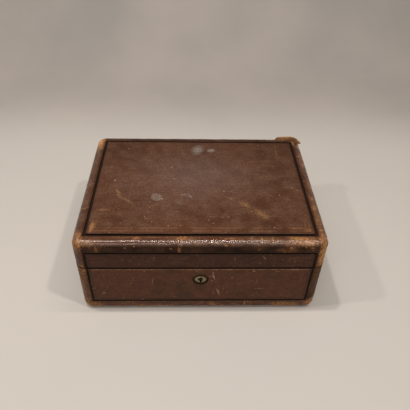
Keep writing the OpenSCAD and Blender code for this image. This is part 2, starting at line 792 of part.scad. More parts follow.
module link_screws() color(BRASS) at_lock() for (side = [-1, 1])
    translate([side * rim_screw_x, rim_screw_y, rim_gap]) mirror([0, 0, 1]) screw();

// The pieces

base_front_board();
base_back_board();
base_left_board();
base_right_board();
base_bottom_board();
base_front_panel();
base_back_panel();
base_left_panel();
base_right_panel();
base_underside_cover();
base_foot_edging();
base_corner_front_left();
base_corner_front_right();
base_corner_back_left();
base_corner_back_right();
base_rim_facing();
base_lining_front();
base_lining_back();
base_lining_left();
base_lining_right();
base_floor_pad();
hinge_left_base_leaf();
hinge_right_base_leaf();
hinge_pins();
hinge_base_screws();
lock_plate();
lock_cap();
lock_spring();
lock_screws();
escutcheon();
lid_front_board();
lid_back_board();
lid_left_board();
lid_right_board();
lid_top_board();
lid_front_panel();
lid_back_panel();
lid_left_panel();
lid_right_panel();
lid_top_panel();
lid_top_edging();
lid_corner_front_left();
lid_corner_front_right();
lid_corner_back_left();
lid_corner_back_right();
lid_rim_facing();
lid_lining_front();
lid_lining_back();
lid_lining_left();
lid_lining_right();
lid_pad();
hinge_left_lid_leaf();
hinge_right_lid_leaf();
hinge_lid_screws();
link_plate();
link_screws();
lock_bolt();
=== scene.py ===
"""The looks of a hinged leather case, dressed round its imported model.

Hide, cloth and pads are sheets of points worked out with numpy and closed into solids. Sizes are in
millimetres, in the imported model's frame: X to the right, the front at -Y, Z up. Meshes are in metres.
"""

import logging
import math
from collections.abc import Sequence
from dataclasses import dataclass, field, replace
from enum import Enum
from typing import ClassVar

import bpy
import numpy as np
from bpy.types import Material, NodeSocket, NodeTree, Object
from mathutils import Matrix, Vector


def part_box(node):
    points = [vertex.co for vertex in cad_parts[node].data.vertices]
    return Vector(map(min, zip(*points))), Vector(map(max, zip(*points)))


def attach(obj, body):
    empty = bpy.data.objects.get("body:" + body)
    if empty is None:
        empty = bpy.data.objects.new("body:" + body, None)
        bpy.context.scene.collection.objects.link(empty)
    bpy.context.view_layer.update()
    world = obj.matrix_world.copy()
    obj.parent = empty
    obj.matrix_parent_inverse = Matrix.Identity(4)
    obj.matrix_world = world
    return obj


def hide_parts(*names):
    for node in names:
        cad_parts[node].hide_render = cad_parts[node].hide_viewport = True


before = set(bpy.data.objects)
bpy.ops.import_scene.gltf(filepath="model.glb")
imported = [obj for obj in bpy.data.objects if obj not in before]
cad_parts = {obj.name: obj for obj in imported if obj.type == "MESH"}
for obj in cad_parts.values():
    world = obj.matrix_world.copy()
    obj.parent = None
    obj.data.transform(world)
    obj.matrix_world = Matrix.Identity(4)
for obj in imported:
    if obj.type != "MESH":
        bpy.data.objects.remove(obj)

MM = 0.001
TINY = 1e-6  # millimetres: two places nearer than this are one
PICTURE = 410  # width and height of the photograph, in pixels
TOP_Z = 125  # height of the top panel's face
FRONT_Y = -116  # place of the front walls' faces
SHARP_FROM = math.radians(45)  # faces that meet at more than this stay sharp
POLISHED_ROLL = (2.0, 62.0)  # degrees on the rolled edge between which it is polished
UV_NAME = "skin"
WAVE_TURN = 2 * math.pi / 20  # a Wave texture of scale 1 repeats after this many metres
MIX_A, MIX_B, MIX_COLOUR = 6, 7, 2  # sockets of a Mix node that mixes colours

Layer = tuple[NodeSocket, str | NodeSocket]  # its share and its colour

log = logging.getLogger("leather case")


class Body(Enum):
    """The parts that move as one."""

    CASE = "case"
    LID = "lid"
    BOLT = "bolt"


class Slot(Enum):
    """The record's material slots."""

    WOOD = "carcass_wood"
    PANEL = "panel_leather"
    EDGING = "edging_leather"
    LINING = "lining_velvet"
    CLOTH = "underside_cloth"
    BRASS = "brass"
    STEEL = "steel"


class Wall(Enum):
    """The four walls, in the order in which the way round the case meets them, seen from above."""

    FRONT = 0
    RIGHT = 1
    BACK = 2
    LEFT = 3

    @property
    def along(self) -> np.ndarray:
        """Direction in which the way round runs along this wall."""
        return np.array([(1, 0), (0, 1), (-1, 0), (0, -1)][self.value], float)

    @property
    def outward(self) -> np.ndarray:
        """Direction that this wall faces."""
        return np.array([(0, -1), (1, 0), (0, 1), (-1, 0)][self.value], float)


def linear(code: str) -> tuple[float, float, float, float]:
    """Turn an sRGB hex colour into linear light.

    Args:
        code: the colour, such as "#6b4030".

    Returns:
        Red, green, blue and an alpha of 1. Each colour is c / 12.92 up to 0.04045, and above that
        ((c + 0.055) / 1.055) ^ 2.4.
    """
    srgb = np.array([int(code[start:start + 2], 16) for start in (1, 3, 5)]) / 255
    light = np.where(srgb <= 0.04045, srgb / 12.92, ((srgb + 0.055) / 1.055) ** 2.4)
    return (*light.tolist(), 1.0)


def per_metre(size: float) -> float:
    """Scale of a texture whose pattern repeats about every size millimetres."""
    return 1 / (size * MM)


def ramp(value: np.ndarray, start: float, end: float) -> np.ndarray:
    """Go smoothly from 0 at start to 1 at end: 3t^2 - 2t^3 of the clipped share t of the way."""
    share = np.clip((value - start) / (end - start), 0, 1)
    return share * share * (3 - 2 * share)


def bell(value: np.ndarray, middle: float, reach: float) -> np.ndarray:
    """A bell curve that is 1 at the middle: exp(-((value - middle) / reach)^2)."""
    return np.exp(-((value - middle) / reach) ** 2)


def lines(stops: Sequence[float], *pitches: float) -> np.ndarray:
    """Grid lines through stretches that follow on from one another.

    Args:
        stops: the ends of the stretches.
        pitches: widest pitch of each stretch.

    Returns:
        Every line once, from the first stop to the last.
    """
    parts = [np.linspace(start, end, math.ceil(abs(end - start) / pitch) + 1)[:-1]
             for start, end, pitch in zip(stops, stops[1:], pitches)]
    return np.append(np.concatenate(parts), stops[-1])


def span(node: str) -> np.ndarray:
    """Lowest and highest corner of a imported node, in millimetres."""
    return np.array([list(corner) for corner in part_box(node)]) / MM


def add_node(
    tree: NodeTree,
    kind: str,
    feeds: dict | tuple = (),
    out: int | str = 0,
    **settings: object,
) -> NodeSocket:
    """Add a shader node, set it and feed it.

    Args:
        tree: the tree that gets the node.
        kind: the node's type, without ShaderNode.
        feeds: the values or sockets that feed the first inputs, or a dict of them by name or number.
        out: name or number of the output wanted.
        settings: the node's own properties.

    Returns:
        That output.
    """
    node = tree.nodes.new("ShaderNode" + kind)
    for name, value in settings.items():
        setattr(node, name, value)
    for key, value in feeds.items() if isinstance(feeds, dict) else enumerate(feeds):
        if isinstance(value, NodeSocket):
            tree.links.new(value, node.inputs[key])
        else:
            node.inputs[key].default_value = value
    return node.outputs[out]


def layered(tree: NodeTree, ground: str | NodeSocket, *layers: Layer) -> NodeSocket:
    """Cover a colour with layers in turn: (1 - share) * what lies below + share * the layer.

    Args:
        tree: the material's tree.
        ground: the lowest colour, a hex code or a socket.
        layers: share and colour of each, from the lowest up.

    Returns:
        The colour on top.
    """
    for share, colour in layers:
        below, above = (linear(paint) if isinstance(paint, str) else paint
                        for paint in (ground, colour))
        ground = add_node(tree, "Mix", {0: share, MIX_A: below, MIX_B: above}, out=MIX_COLOUR,
                          data_type="RGBA")
    return ground


def new_material(name: str) -> tuple[Material, NodeTree, NodeSocket]:
    """Make a material with an empty node tree.

    Args:
        name: the material's name.

    Returns:
        The material, its tree and the place of a point on the object, in metres.
    """
    material = bpy.data.materials.new(name)
    material.use_nodes = True
    material.node_tree.nodes.clear()
    return material, material.node_tree, add_node(material.node_tree, "TexCoord", out="Object")


def finish_shader(tree: NodeTree, feeds: dict) -> None:
    """End a material's tree in a Principled shader.

    Args:
        tree: the material's tree.
        feeds: what the shader's inputs get.
    """
    output = tree.nodes.new("ShaderNodeOutputMaterial")
    tree.links.new(add_node(tree, "BsdfPrincipled", feeds), output.inputs["Surface"])


@dataclass(frozen=True)
class Undulation:
    """A smooth seeded unevenness, the sum of sine waves that run in seeded directions."""

    length: float
    seed: int
    waves: int = 16

    def at(self, points: np.ndarray) -> np.ndarray:
        """Height at each point: sqrt(2 / waves) times the sum of sin(2 pi p . d / length + phase).

        Args:
            points: places in millimetres, with x, y and z last.

        Returns:
            Heights of about -1.5 to 1.5, with a mean square of 1.
        """
        rng = np.random.default_rng(self.seed)
        directions = rng.normal(size=(self.waves, 3))
        directions /= np.linalg.norm(directions, axis=1, keepdims=True)
        directions /= self.length * rng.uniform(0.7, 1.7, (self.waves, 1))
        phases = rng.uniform(0, 2 * math.pi, self.waves)
        return math.sqrt(2 / self.waves) * np.sin(2 * math.pi * points @ directions.T + phases).sum(-1)


def uneven(
    points: np.ndarray, mean: float | np.ndarray, *waves: tuple[float, float, int]
) -> np.ndarray:
    """Add undulations to a mean.

    Args:
        points: places in millimetres.
        mean: the value that the undulations sway about.
        waves: share, length and seed of each undulation.

    Returns:
        The value at each point.
    """
    return mean + sum(share * Undulation(length, seed).at(points) for share, length, seed in waves)


@dataclass(frozen=True)
class Rub:
    """A rubbed place on the hide, whose wear falls off as a bell curve."""

    at: tuple[float, float, float]
    reach: tuple[float, float, float]
    depth: float

    def field(self, points: np.ndarray) -> np.ndarray:
        """Wear at each point: depth * exp(-|(p - at) / reach|^2)."""
        return self.depth * np.exp(-(((points - self.at) / self.reach) ** 2).sum(-1))


def rubbed(points: np.ndarray, rubs: tuple[Rub, ...]) -> np.ndarray:
    """The deepest wear, from 0 to 1, that any rub gives at each point."""
    return np.max([np.zeros(points.shape[:-1]), *(rub.field(points) for rub in rubs)], axis=0)


@dataclass(frozen=True)
class Mark:
    """A scratch, scuff or spot: an ellipsoid from start to end of the given width."""

    start: tuple[float, float, float]
    end: tuple[float, float, float]
    width: float
    depth: float = 1.0
    core: float = 0.5

    def mask(self, tree: NodeTree, place: NodeSocket) -> NodeSocket:
        """Shade the inside of the ellipsoid.

        Args:
            tree: the material's tree.
            place: where a point lies, in metres.

        Returns:
            A socket that is depth in the core, from where it fades to 0 at the ellipsoid's surface.
        """
        start, end = Vector(self.start) * MM, Vector(self.end) * MM
        radius = self.width * MM / 2
        reach = (end - start).length / 2 + radius
        turned = add_node(tree, "Mapping", {
            "Vector": place,
            "Location": (start + end) / 2,
            "Rotation": (end - start).to_track_quat("X", "Z").to_euler(),
            "Scale": (reach, radius, radius),
        }, vector_type="TEXTURE")
        far = add_node(tree, "VectorMath", (turned,), out="Value", operation="LENGTH")
        return add_node(tree, "MapRange", (far, 1.0, self.core, 0.0, self.depth),
                        interpolation_type="SMOOTHSTEP")


def on_top(x: float, y: float, to_x: float, to_y: float, *look: float) -> Mark:
    """A mark on the top panel, whose look is its width, depth and core."""
    return Mark((x, y, TOP_Z), (to_x, to_y, TOP_Z), *look)


def in_front(x: float, z: float, to_x: float, to_z: float, *look: float) -> Mark:
    """A mark on the front walls, whose look is its width, depth and core."""
    return Mark((x, FRONT_Y, z), (to_x, FRONT_Y, to_z), *look)


def strongest(tree: NodeTree, place: NodeSocket, marks: tuple[Mark, ...]) -> NodeSocket:
    """Combine marks by taking the strongest at each point.

    Args:
        tree: the material's tree.
        place: where a point lies, in metres.
        marks: the marks.

    Returns:
        The combined mask.
    """
    combined, *others = (mark.mask(tree, place) for mark in marks)
    for mask in others:
        combined = add_node(tree, "Math", (combined, mask), operation="MAXIMUM")
    return combined


@dataclass(frozen=True)
class Fillets:
    """Two tooled lines that run round inside a panel's edge, kept best along the front.

    worn_at and kept give how much of a line is left, from where the noise wears it most to where it
    wears it least. The lines gain from behind to front over front_y.
    """

    half_x: float
    half_y: float
    insets: tuple[float, float] = (4.9, 10.1)
    width: float = 0.7
    worn_at: tuple[float, float] = (0.40, 0.58)
    kept: tuple[float, float] = (0.12, 0.6)
    front_y: tuple[float, float] = (-70.0, -92.0)
    kept_behind: float = 0.06

    def mask(self, tree: NodeTree, place: NodeSocket, worn: NodeSocket) -> NodeSocket:
        """Shade the lines, where min(half_x - |x|, half_y - |y|) is one of the insets.

        Args:
            tree: the material's tree.
            place: where a point lies, in metres.
            worn: a noise that breaks the lines up.

        Returns:
            A socket that rises on a line.
        """
        size = add_node(tree, "VectorMath", (place,), operation="ABSOLUTE")
        room = add_node(tree, "VectorMath", ((self.half_x * MM, self.half_y * MM, 0), size),
                        operation="SUBTRACT")
        sides = (add_node(tree, "SeparateXYZ", (room,), out=axis) for axis in "XY")
        inset = add_node(tree, "Math", tuple(sides), operation="MINIMUM")
        masks = []
        for at in self.insets:
            off = add_node(tree, "Math", (inset, at * MM), operation="SUBTRACT")
            off = add_node(tree, "Math", (off,), operation="ABSOLUTE")
            masks.append(add_node(tree, "MapRange", (off, self.width * MM, self.width * MM / 4),
                                  interpolation_type="SMOOTHSTEP"))
        both = add_node(tree, "Math", tuple(masks), operation="MAXIMUM")
        kept = add_node(tree, "MapRange", (worn, *self.worn_at, *self.kept))
        back = add_node(tree, "SeparateXYZ", (place,), out="Y")
        start, end = (y * MM for y in self.front_y)
        near = add_node(tree, "MapRange", (back, start, end, self.kept_behind, 1.0))
        kept = add_node(tree, "Math", (kept, near), operation="MULTIPLY")
        return add_node(tree, "Math", (both, kept), operation="MULTIPLY")


@dataclass(frozen=True)
class Ground:
    """What every layer of a hide is worked out from.

    tree is the material's tree, place a point's place and ragged the same, shifted a little, surface
    the way along and across the hide, all in metres. broad, cloudy and fine are noises of ever smaller
    patches. wear, grime with painted shade, dust with painted shade beside the grooves, and the painted
    sheen, a pale painted reflection of the backdrop, from 0 to 1, are fields of the piece.
    """

    tree: NodeTree
    place: NodeSocket
    ragged: NodeSocket
    surface: NodeSocket
    broad: NodeSocket
    cloudy: NodeSocket
    fine: NodeSocket
    wear: NodeSocket
    dye: NodeSocket
    bloom: NodeSocket
    haze: NodeSocket

    @classmethod
    def laid(cls, tree: NodeTree, place: NodeSocket) -> "Ground":
        """Put in the noises, with patches of 70, 17, 2.6 and 5 mm, and read the fields.

        Args:
            tree: the material's tree.
            place: where a point lies, in metres.

        Returns:
            The ground.
        """
        broad, cloudy, fine = (
            add_node(tree, "TexNoise", {"Vector": place, "Scale": per_metre(patch), "Detail": detail,
                                        "Roughness": roughness})
            for patch, detail, roughness in ((70, 4.0, 0.5), (17, 5.0, 0.6), (2.6, 4.0, 0.65)))
        waves = add_node(tree, "TexNoise", {"Vector": place, "Scale": per_metre(5), "Detail": 3.0},
                         out="Color")
        shift = add_node(tree, "VectorMath", (waves, (0.5, 0.5, 0.5)), operation="SUBTRACT")
        ragged = add_node(tree, "VectorMath", (shift, (4 * MM,) * 3, place), operation="MULTIPLY_ADD")
        fields = (add_node(tree, "Attribute", out="Fac", attribute_name=name)
                  for name in ("wear", "dye", "bloom", "haze"))
        return cls(tree, place, ragged, add_node(tree, "UVMap", uv_map=UV_NAME), broad, cloudy, fine,
                   *fields)


@dataclass(frozen=True)
class LongGrainHide:
    """Vegetable-tanned hide, pressed with a long grain, dyed, polished and rubbed through in places.

    The ridges of the grain catch the light as fine strokes. Where the dyed surface has worn off, the
    matt tan fibre shows. The real ridges are under 1 mm apart and are drawn coarser, so as to show.
    """

    name: str
    dyed: str = "#553220"
    faded: str = "#614130"
    deep: str = "#351d11"
    rubbed: str = "#7c4d2b"
    fibre: str = "#aa7845"
    fibre_dark: str = "#784a28"
    fleck: str = "#c7a27c"
    scuff: str = "#8a6443"
    # pale colour of the painted sheen, a painted reflection of the backdrop
    haze: str = "#78635a"
    # near black grime and painted shade: in the grooves, under the roll, at the rim, on uprights
    grime: str = "#120b07"
    # dust and painted shade in patches beside the grooves
    dust: str = "#2d231e"
    line: str = "#8d6340"
    stain: str = "#a39b90"
    glance: str = "#ffdfc9"
    rib_pitch: float = 2.1
    rib_slant: float = 14.0
    rib_share: float = 0.0
    fine_share: float = 0.5
    height: float = 0.10
    pore: float = 1.1
    nick_pitch: float = 5.0
    nicks: float = 0.06
    grain: float = 0.6
    stroke: float = 0.13
    stroke_along: bool = True
    scratched: float = 0.68
    polish: float = 0.46
    matt: float = 0.66
    gloss: float = 0.22
    scratch_angles: tuple[float, float] = (20.0, 68.0)
    thin: float = 0.0
    marks: tuple[Mark, ...] = ()
    stains: tuple[Mark, ...] = ()
    fillets: Fillets | None = None

    def build(self) -> Material:
        """Lay dye, painted sheen, wear, dust and grime over one another, with painted shade in the dust
        and the grime, and let the bare fibre be matt.
        """
        material, tree, place = new_material(self.name)
        ground = Ground.laid(tree, place)
        bare = self.bare(ground)
        colour = layered(tree, self.deep, *self.dyes(ground), *self.strokes(ground),
                         *self.worn(ground, bare), *self.marked(ground), *self.soil(ground))
        rough = add_node(tree, "MapRange", (ground.cloudy, 0.35, 0.65, self.polish, self.matt))
        rough = add_node(tree, "Math", (bare, 0.16, rough), operation="MULTIPLY_ADD")
        # the grime and the painted shade are matt
        rough = add_node(tree, "Math", (ground.dye, 0.35, rough), operation="MULTIPLY_ADD",
                         use_clamp=True)
        finish_shader(tree, {
            "Base Color": colour, "Roughness": rough, "IOR": 1.5, "Specular IOR Level": self.gloss,
            "Specular Tint": linear(self.glance), "Normal": self.relief(ground, bare),
        })
        return material

    def dyes(self, ground: Ground) -> list[Layer]:
        """Layers of the dye: its body, faded clouds, dark grain and fine scratches.

        Args:
            ground: noises and fields.

        Returns:
            The layers over the deep colour, from the lowest up.
        """
        tree = ground.tree
        return [
            (add_node(tree, "MapRange", (ground.broad, 0.34, 0.56, 0.45)), self.dyed),
            (add_node(tree, "MapRange", (ground.cloudy, 0.38, 0.68)), self.faded),
            (add_node(tree, "MapRange", (ground.fine, 0.56, 0.38, 0.0, self.grain)), self.deep),
            (self.hairlines(ground), self.scuff),
        ]

    def strokes(self, ground: Ground) -> list[Layer]:
        """Layers of dark and light strokes that run one way, where a drawn-out noise is low or high.

        Args:
            ground: noises and fields.

        Returns:
            Both layers and the painted sheen over them, a pale painted reflection of the backdrop.
        """
        tree = ground.tree
        stretch = (0.12, 1.0, 1.0) if self.stroke_along else (1.0, 0.12, 1.0)
        drawn = add_node(tree, "Mapping", {"Vector": ground.surface, "Scale": stretch})
        drawn = add_node(tree, "TexNoise", {"Vector": drawn, "Scale": per_metre(2.6), "Detail": 3.0,
                                            "Roughness": 0.6, "Distortion": 0.4})
        layers = []
        # dark strokes take the deep colour, light ones the pale colour of the painted sheen
        for end, tint, leaning in ((0.30, self.deep, 0.62), (0.70, self.haze, 0.38)):
            share = add_node(tree, "MapRange", (drawn, 0.5, end, 0.0, self.stroke * 1.6))
            patch = add_node(tree, "MapRange", (ground.cloudy, leaning, 1 - leaning, 0.2))
            layers.append((add_node(tree, "Math", (share, patch), operation="MULTIPLY"), tint))
        # painted sheen: a pale reflection of the backdrop, painted where the piece's field is high
        haze = add_node(tree, "Math", (ground.haze, ground.fine), operation="MULTIPLY")
        return [*layers, (haze, self.haze)]

    def hairlines(self, ground: Ground) -> NodeSocket:
        """Find fine scratches: where a noise, drawn out along a slanted line, passes its middle.

        Args:
            ground: noises and fields.

        Returns:
            A socket that rises on a scratch.
        """
        tree = ground.tree
        masks = []
        for angle in self.scratch_angles:
            turned = add_node(tree, "Mapping", {"Vector": ground.place,
                                                "Rotation": (math.radians(angle),) * 3})
            drawn = add_node(tree, "Mapping", {"Vector": turned, "Scale": (0.06, 1, 1)})
            noise = add_node(tree, "TexNoise", {"Vector": drawn, "Scale": per_metre(2.4),
                                                "Detail": 2.0, "Distortion": 0.3})
            masks.append(add_node(tree, "MapRange",
                                  (noise, self.scratched, self.scratched + 0.08, 0.0, 0.6)))
        return add_node(tree, "Math", tuple(masks), operation="MAXIMUM")

    def bare(self, ground: Ground) -> NodeSocket:
        """Find where the dye has gone: where the wear plus two noises passes a threshold.

        Args:
            ground: noises and fields.

        Returns:
            A socket that is 1 on bare fibre.
        """
        total = ground.wear
        for noise in (ground.cloudy, ground.fine):
            total = add_node(ground.tree, "Math", (noise, 1.3, total), operation="MULTIPLY_ADD")
        return add_node(ground.tree, "MapRange", (total, 1.70 - self.thin, 2.14 - self.thin),
                        interpolation_type="SMOOTHSTEP")

    def worn(self, ground: Ground, bare: NodeSocket) -> list[Layer]:
        """Layers of wear: rubbed dye, the fibre in two shades with pale tufts, and pale nicks.

        Args:
            ground: noises and fields.
            bare: where the dye has gone.

        Returns:
            The layers, from the lowest up.
        """
        tree, fine = ground.tree, ground.fine
        soft = add_node(tree, "Math", (ground.cloudy, 0.4, ground.wear), operation="MULTIPLY_ADD")
        soft = add_node(tree, "MapRange", (soft, 0.36, 0.92, 0.0, 0.85))
        raw = add_node(tree, "Math", (fine, 1.2, ground.wear), operation="MULTIPLY_ADD")
        fibre = layered(tree, self.fibre_dark,
                        (add_node(tree, "MapRange", (fine, 0.42, 0.62)), self.fibre),
                        (add_node(tree, "MapRange", (raw, 1.42, 1.72, 0.0, 0.85)), self.fleck))
        cracked = add_node(tree, "MapRange", (fine, 0.34, 0.50, 0.12))
        cover = add_node(tree, "Math", (bare, cracked), operation="MULTIPLY")
        return [(soft, self.rubbed), (cover, fibre), (self.flecks(ground), self.fleck)]

    def flecks(self, ground: Ground) -> NodeSocket:
        """Find pale nicks: the middles of some cells of a Voronoi pattern, of more where it is rubbed.

        Args:
            ground: noises and fields.

        Returns:
            A socket that rises in a nick.
        """
        tree = ground.tree
        cells = {"Vector": ground.place, "Scale": per_metre(self.nick_pitch)}
        near, chance = (add_node(tree, "TexVoronoi", cells, out=out) for out in ("Distance", "Color"))
        chance = add_node(tree, "SeparateXYZ", (chance,), out="X")
        small = add_node(tree, "MapRange", (near, 0.17, 0.07, 0.0, 0.8))
        chance = add_node(tree, "Math", (ground.wear, 0.45, chance), operation="MULTIPLY_ADD")
        chosen = add_node(tree, "Math", (chance, 1 - self.nicks), operation="GREATER_THAN")
        return add_node(tree, "Math", (small, chosen), operation="MULTIPLY")

    def marked(self, ground: Ground) -> list[Layer]:
        """Layers of scuffs, tooled lines and pale stains, where the hide has any.

        Args:
            ground: noises and fields.

        Returns:
            The layers, from the lowest up.
        """
        tree = ground.tree
        layers = []
        if self.marks:
            speckle = add_node(tree, "MapRange", (ground.fine, 0.42, 0.56, 0.2))
            scuff = strongest(tree, ground.ragged, self.marks)
            layers.append((add_node(tree, "Math", (scuff, speckle), operation="MULTIPLY"), self.scuff))
        if self.fillets:
            layers.append((self.fillets.mask(tree, ground.place, ground.cloudy), self.line))
        if self.stains:
            speckle = add_node(tree, "MapRange", (ground.fine, 0.36, 0.6, 0.35))
            stain = strongest(tree, ground.ragged, self.stains)
            layers.append((add_node(tree, "Math", (stain, speckle), operation="MULTIPLY"), self.stain))
        return layers

    def soil(self, ground: Ground) -> list[Layer]:
        """Layers of dirt and painted shade: grey dust and painted shade in patches beside the grooves,
        then black grime and painted shade in the grooves, and painted shade where else the piece's
        field sets it.

        Args:
            ground: noises and fields.

        Returns:
            Both layers.
        """
        patches = add_node(ground.tree, "MapRange", (ground.cloudy, 0.3, 0.6))
        # dust and painted shade beside the grooves, in patches
        bloom = add_node(ground.tree, "Math", (ground.bloom, patches), operation="MULTIPLY")
        return [(bloom, self.dust), (ground.dye, self.grime)]

    def relief(self, ground: Ground, bare: NodeSocket) -> NodeSocket:
        """Raise the long grain and the pores, which wear takes off.

        Args:
            ground: noises and fields.
            bare: where the dye has gone.

        Returns:
            The bumped normal.
        """
        tree = ground.tree
        turned = add_node(tree, "Mapping", {"Vector": ground.surface,
                                            "Rotation": (0, 0, math.radians(self.rib_slant))})
        ribs = add_node(tree, "TexWave", {
            "Vector": turned, "Scale": WAVE_TURN / (self.rib_pitch * MM), "Distortion": 1.5,
            "Detail": 2.0, "Detail Scale": 1.4}, out="Fac", bands_direction="X")
        whole = add_node(tree, "Math", (1.0, bare), operation="SUBTRACT")
        for share in (whole, self.rib_share):
            ribs = add_node(tree, "Math", (ribs, share), operation="MULTIPLY")
        pores = add_node(tree, "TexVoronoi", {"Vector": ground.place, "Scale": per_metre(self.pore)},
                         out="Distance")
        height = add_node(tree, "Math", (pores, 0.25, ribs), operation="MULTIPLY_ADD")
        height = add_node(tree, "Math", (ground.fine, self.fine_share, height),
                          operation="MULTIPLY_ADD")
        return add_node(tree, "Bump", {"Height": height, "Strength": 1.0,
                                       "Distance": self.height * MM})


@dataclass(frozen=True)
class AgedMetal:
    """Rolled or cast metal with a dull skin of tarnish. On a plate, painted shade and set dirt darken
    the border round the lit middle, and painted shade the keyhole.
    """

    name: str
    bright: str
    dull: str
    tarnish: str
    # painted shade and set dirt on a plate's border, and painted shade in its keyhole
    set_dirt: str = "#3b2b17"
    metallic: float = 0.9
    polish: float = 0.30
    matt: float = 0.55
    patch: float = 5.0
    spot: float = 2.2
    brushing: float = 0.35
    handled: Mark | None = None
    clogged: Mark | None = None

    def build(self) -> Material:
        """Mix bright and dull metal in patches, with tarnish spots and fine draw lines."""
        material, tree, place = new_material(self.name)
        patches = add_node(tree, "TexNoise", {"Vector": place, "Scale": per_metre(self.patch),
                                              "Detail": 5.0, "Roughness": 0.6})
        drawn = add_node(tree, "Mapping", {"Vector": place, "Scale": (0.06, 1.0, 1.0)})
        strokes = add_node(tree, "TexNoise", {"Vector": drawn, "Scale": per_metre(self.brushing),
                                              "Detail": 2.0})
        share = add_node(tree, "MapRange", (patches, 0.38, 0.62))
        spots = add_node(tree, "TexNoise", {"Vector": place, "Scale": per_metre(self.spot),
                                            "Detail": 4.0})
        spots = add_node(tree, "MapRange", (spots, 0.54, 0.68, 0.0, 0.8))
        colour = layered(tree, self.dull, (share, self.bright), (spots, self.tarnish))
        # outside the lit middle: painted shade and set dirt
        if self.handled:
            colour = layered(tree, self.set_dirt, (self.handled.mask(tree, place), colour))
        # painted shade in and round the keyhole
        if self.clogged:
            colour = layered(tree, colour, (self.clogged.mask(tree, place), self.set_dirt))
        rough = add_node(tree, "MapRange", (patches, 0.35, 0.65, self.matt, self.polish))
        rough = add_node(tree, "Math", (spots, 0.2, rough), operation="MULTIPLY_ADD")
        bump = add_node(tree, "Bump", {"Height": strokes, "Strength": 0.4, "Distance": 0.05 * MM})
        finish_shader(tree, {"Base Color": colour, "Metallic": self.metallic, "Roughness": rough,
                             "Normal": bump})
        return material


@dataclass(frozen=True)
class PlanedSoftwood:
    """Planed pine, darkened by age: pale early wood with thin brown lines of late wood."""

    name: str
    along: Wall
    early: str = "#7e5b3b"
    late: str = "#523722"
    ring: float = 3.2
    fibre: float = 0.5

    def build(self) -> Material:
        """Stretch ring and fibre patterns along the board."""
        material, tree, place = new_material(self.name)
        stretch = (0.05, 1.0, 1.0) if self.along is Wall.FRONT else (1.0, 0.05, 1.0)
        grain = add_node(tree, "Mapping", {"Vector": place, "Scale": stretch})
        rings = add_node(tree, "TexNoise", {"Vector": grain, "Scale": per_metre(self.ring * 3),
                                            "Detail": 2.0, "Distortion": 0.6})
        rings = add_node(tree, "Math", (rings, 9.0), operation="MULTIPLY")
        rings = add_node(tree, "Math", (rings,), operation="FRACT")
        fibres = add_node(tree, "TexNoise", {"Vector": grain, "Scale": per_metre(self.fibre),
                                             "Detail": 3.0})
        share = add_node(tree, "Math", (fibres, 0.4, rings), operation="MULTIPLY_ADD")
        share = add_node(tree, "MapRange", (share, 0.5, 1.2))
        bump = add_node(tree, "Bump", {"Height": fibres, "Strength": 0.5, "Distance": 0.1 * MM})
        finish_shader(tree, {"Base Color": layered(tree, self.early, (share, self.late)),
                             "Roughness": 0.62, "Normal": bump})
        return material


@dataclass(frozen=True)
class CottonVelvet:
    """Cut velvet with a short pile that lies in patches, lighter where it faces away."""

    name: str
    deep: str = "#4a141e"
    lit: str = "#64212c"
    sheen: str = "#b8606a"
    pile: float = 0.6
    nap: float = 22.0

    def build(self) -> Material:
        """Mix two shades by how the pile lies and give the pile a sheen."""
        material, tree, place = new_material(self.name)
        lay = add_node(tree, "TexNoise", {"Vector": place, "Scale": per_metre(self.nap),
                                          "Detail": 4.0, "Distortion": 0.5})
        tufts = add_node(tree, "TexNoise", {"Vector": place, "Scale": per_metre(self.pile),
                                            "Detail": 2.0})
        share = add_node(tree, "MapRange", (lay, 0.38, 0.66, 0.0, 0.8))
        shade = add_node(tree, "MapRange", (tufts, 0.3, 0.7, -0.12, 0.12))
        share = add_node(tree, "Math", (share, shade), operation="ADD", use_clamp=True)
        bump = add_node(tree, "Bump", {"Height": tufts, "Strength": 0.7, "Distance": 0.25 * MM})
        finish_shader(tree, {
            "Base Color": layered(tree, self.deep, (share, self.lit)), "Roughness": 0.85,
            "Specular IOR Level": 0.2, "Normal": bump,
            "Sheen Weight": 0.55, "Sheen Roughness": 0.35, "Sheen Tint": linear(self.sheen),
        })
        return material


@dataclass(frozen=True)
class CoarseCloth:
    """Plain-woven book cloth, glued down and dulled. Its 0.5 mm threads are drawn 1 mm wide to show."""

    name: str
    warp: str = "#2b241f"
    weft: str = "#3d342c"
    thread: float = 1.0
    dirt_patch: float = 40.0

    def build(self) -> Material:
        """Cross two sets of bands."""
        material, tree, place = new_material(self.name)
        sets = (add_node(tree, "TexWave", {"Vector": place, "Scale": WAVE_TURN / (self.thread * MM),
                                           "Distortion": 0.6, "Detail Scale": 0.4}, out="Fac",
                         bands_direction=direction) for direction in "XY")
        over = add_node(tree, "Math", tuple(sets), operation="MULTIPLY")
        dirt = add_node(tree, "TexNoise", {"Vector": place, "Scale": per_metre(self.dirt_patch),
                                           "Detail": 5.0})
        share = add_node(tree, "Math", (over, dirt), operation="MULTIPLY")
        share = add_node(tree, "Math", (share, 1.6), operation="MULTIPLY", use_clamp=True)
        bump = add_node(tree, "Bump", {"Height": over, "Strength": 0.8, "Distance": 0.2 * MM})
        finish_shader(tree, {"Base Color": layered(tree, self.warp, (share, self.weft)),
                             "Roughness": 0.9, "Normal": bump})
        return material


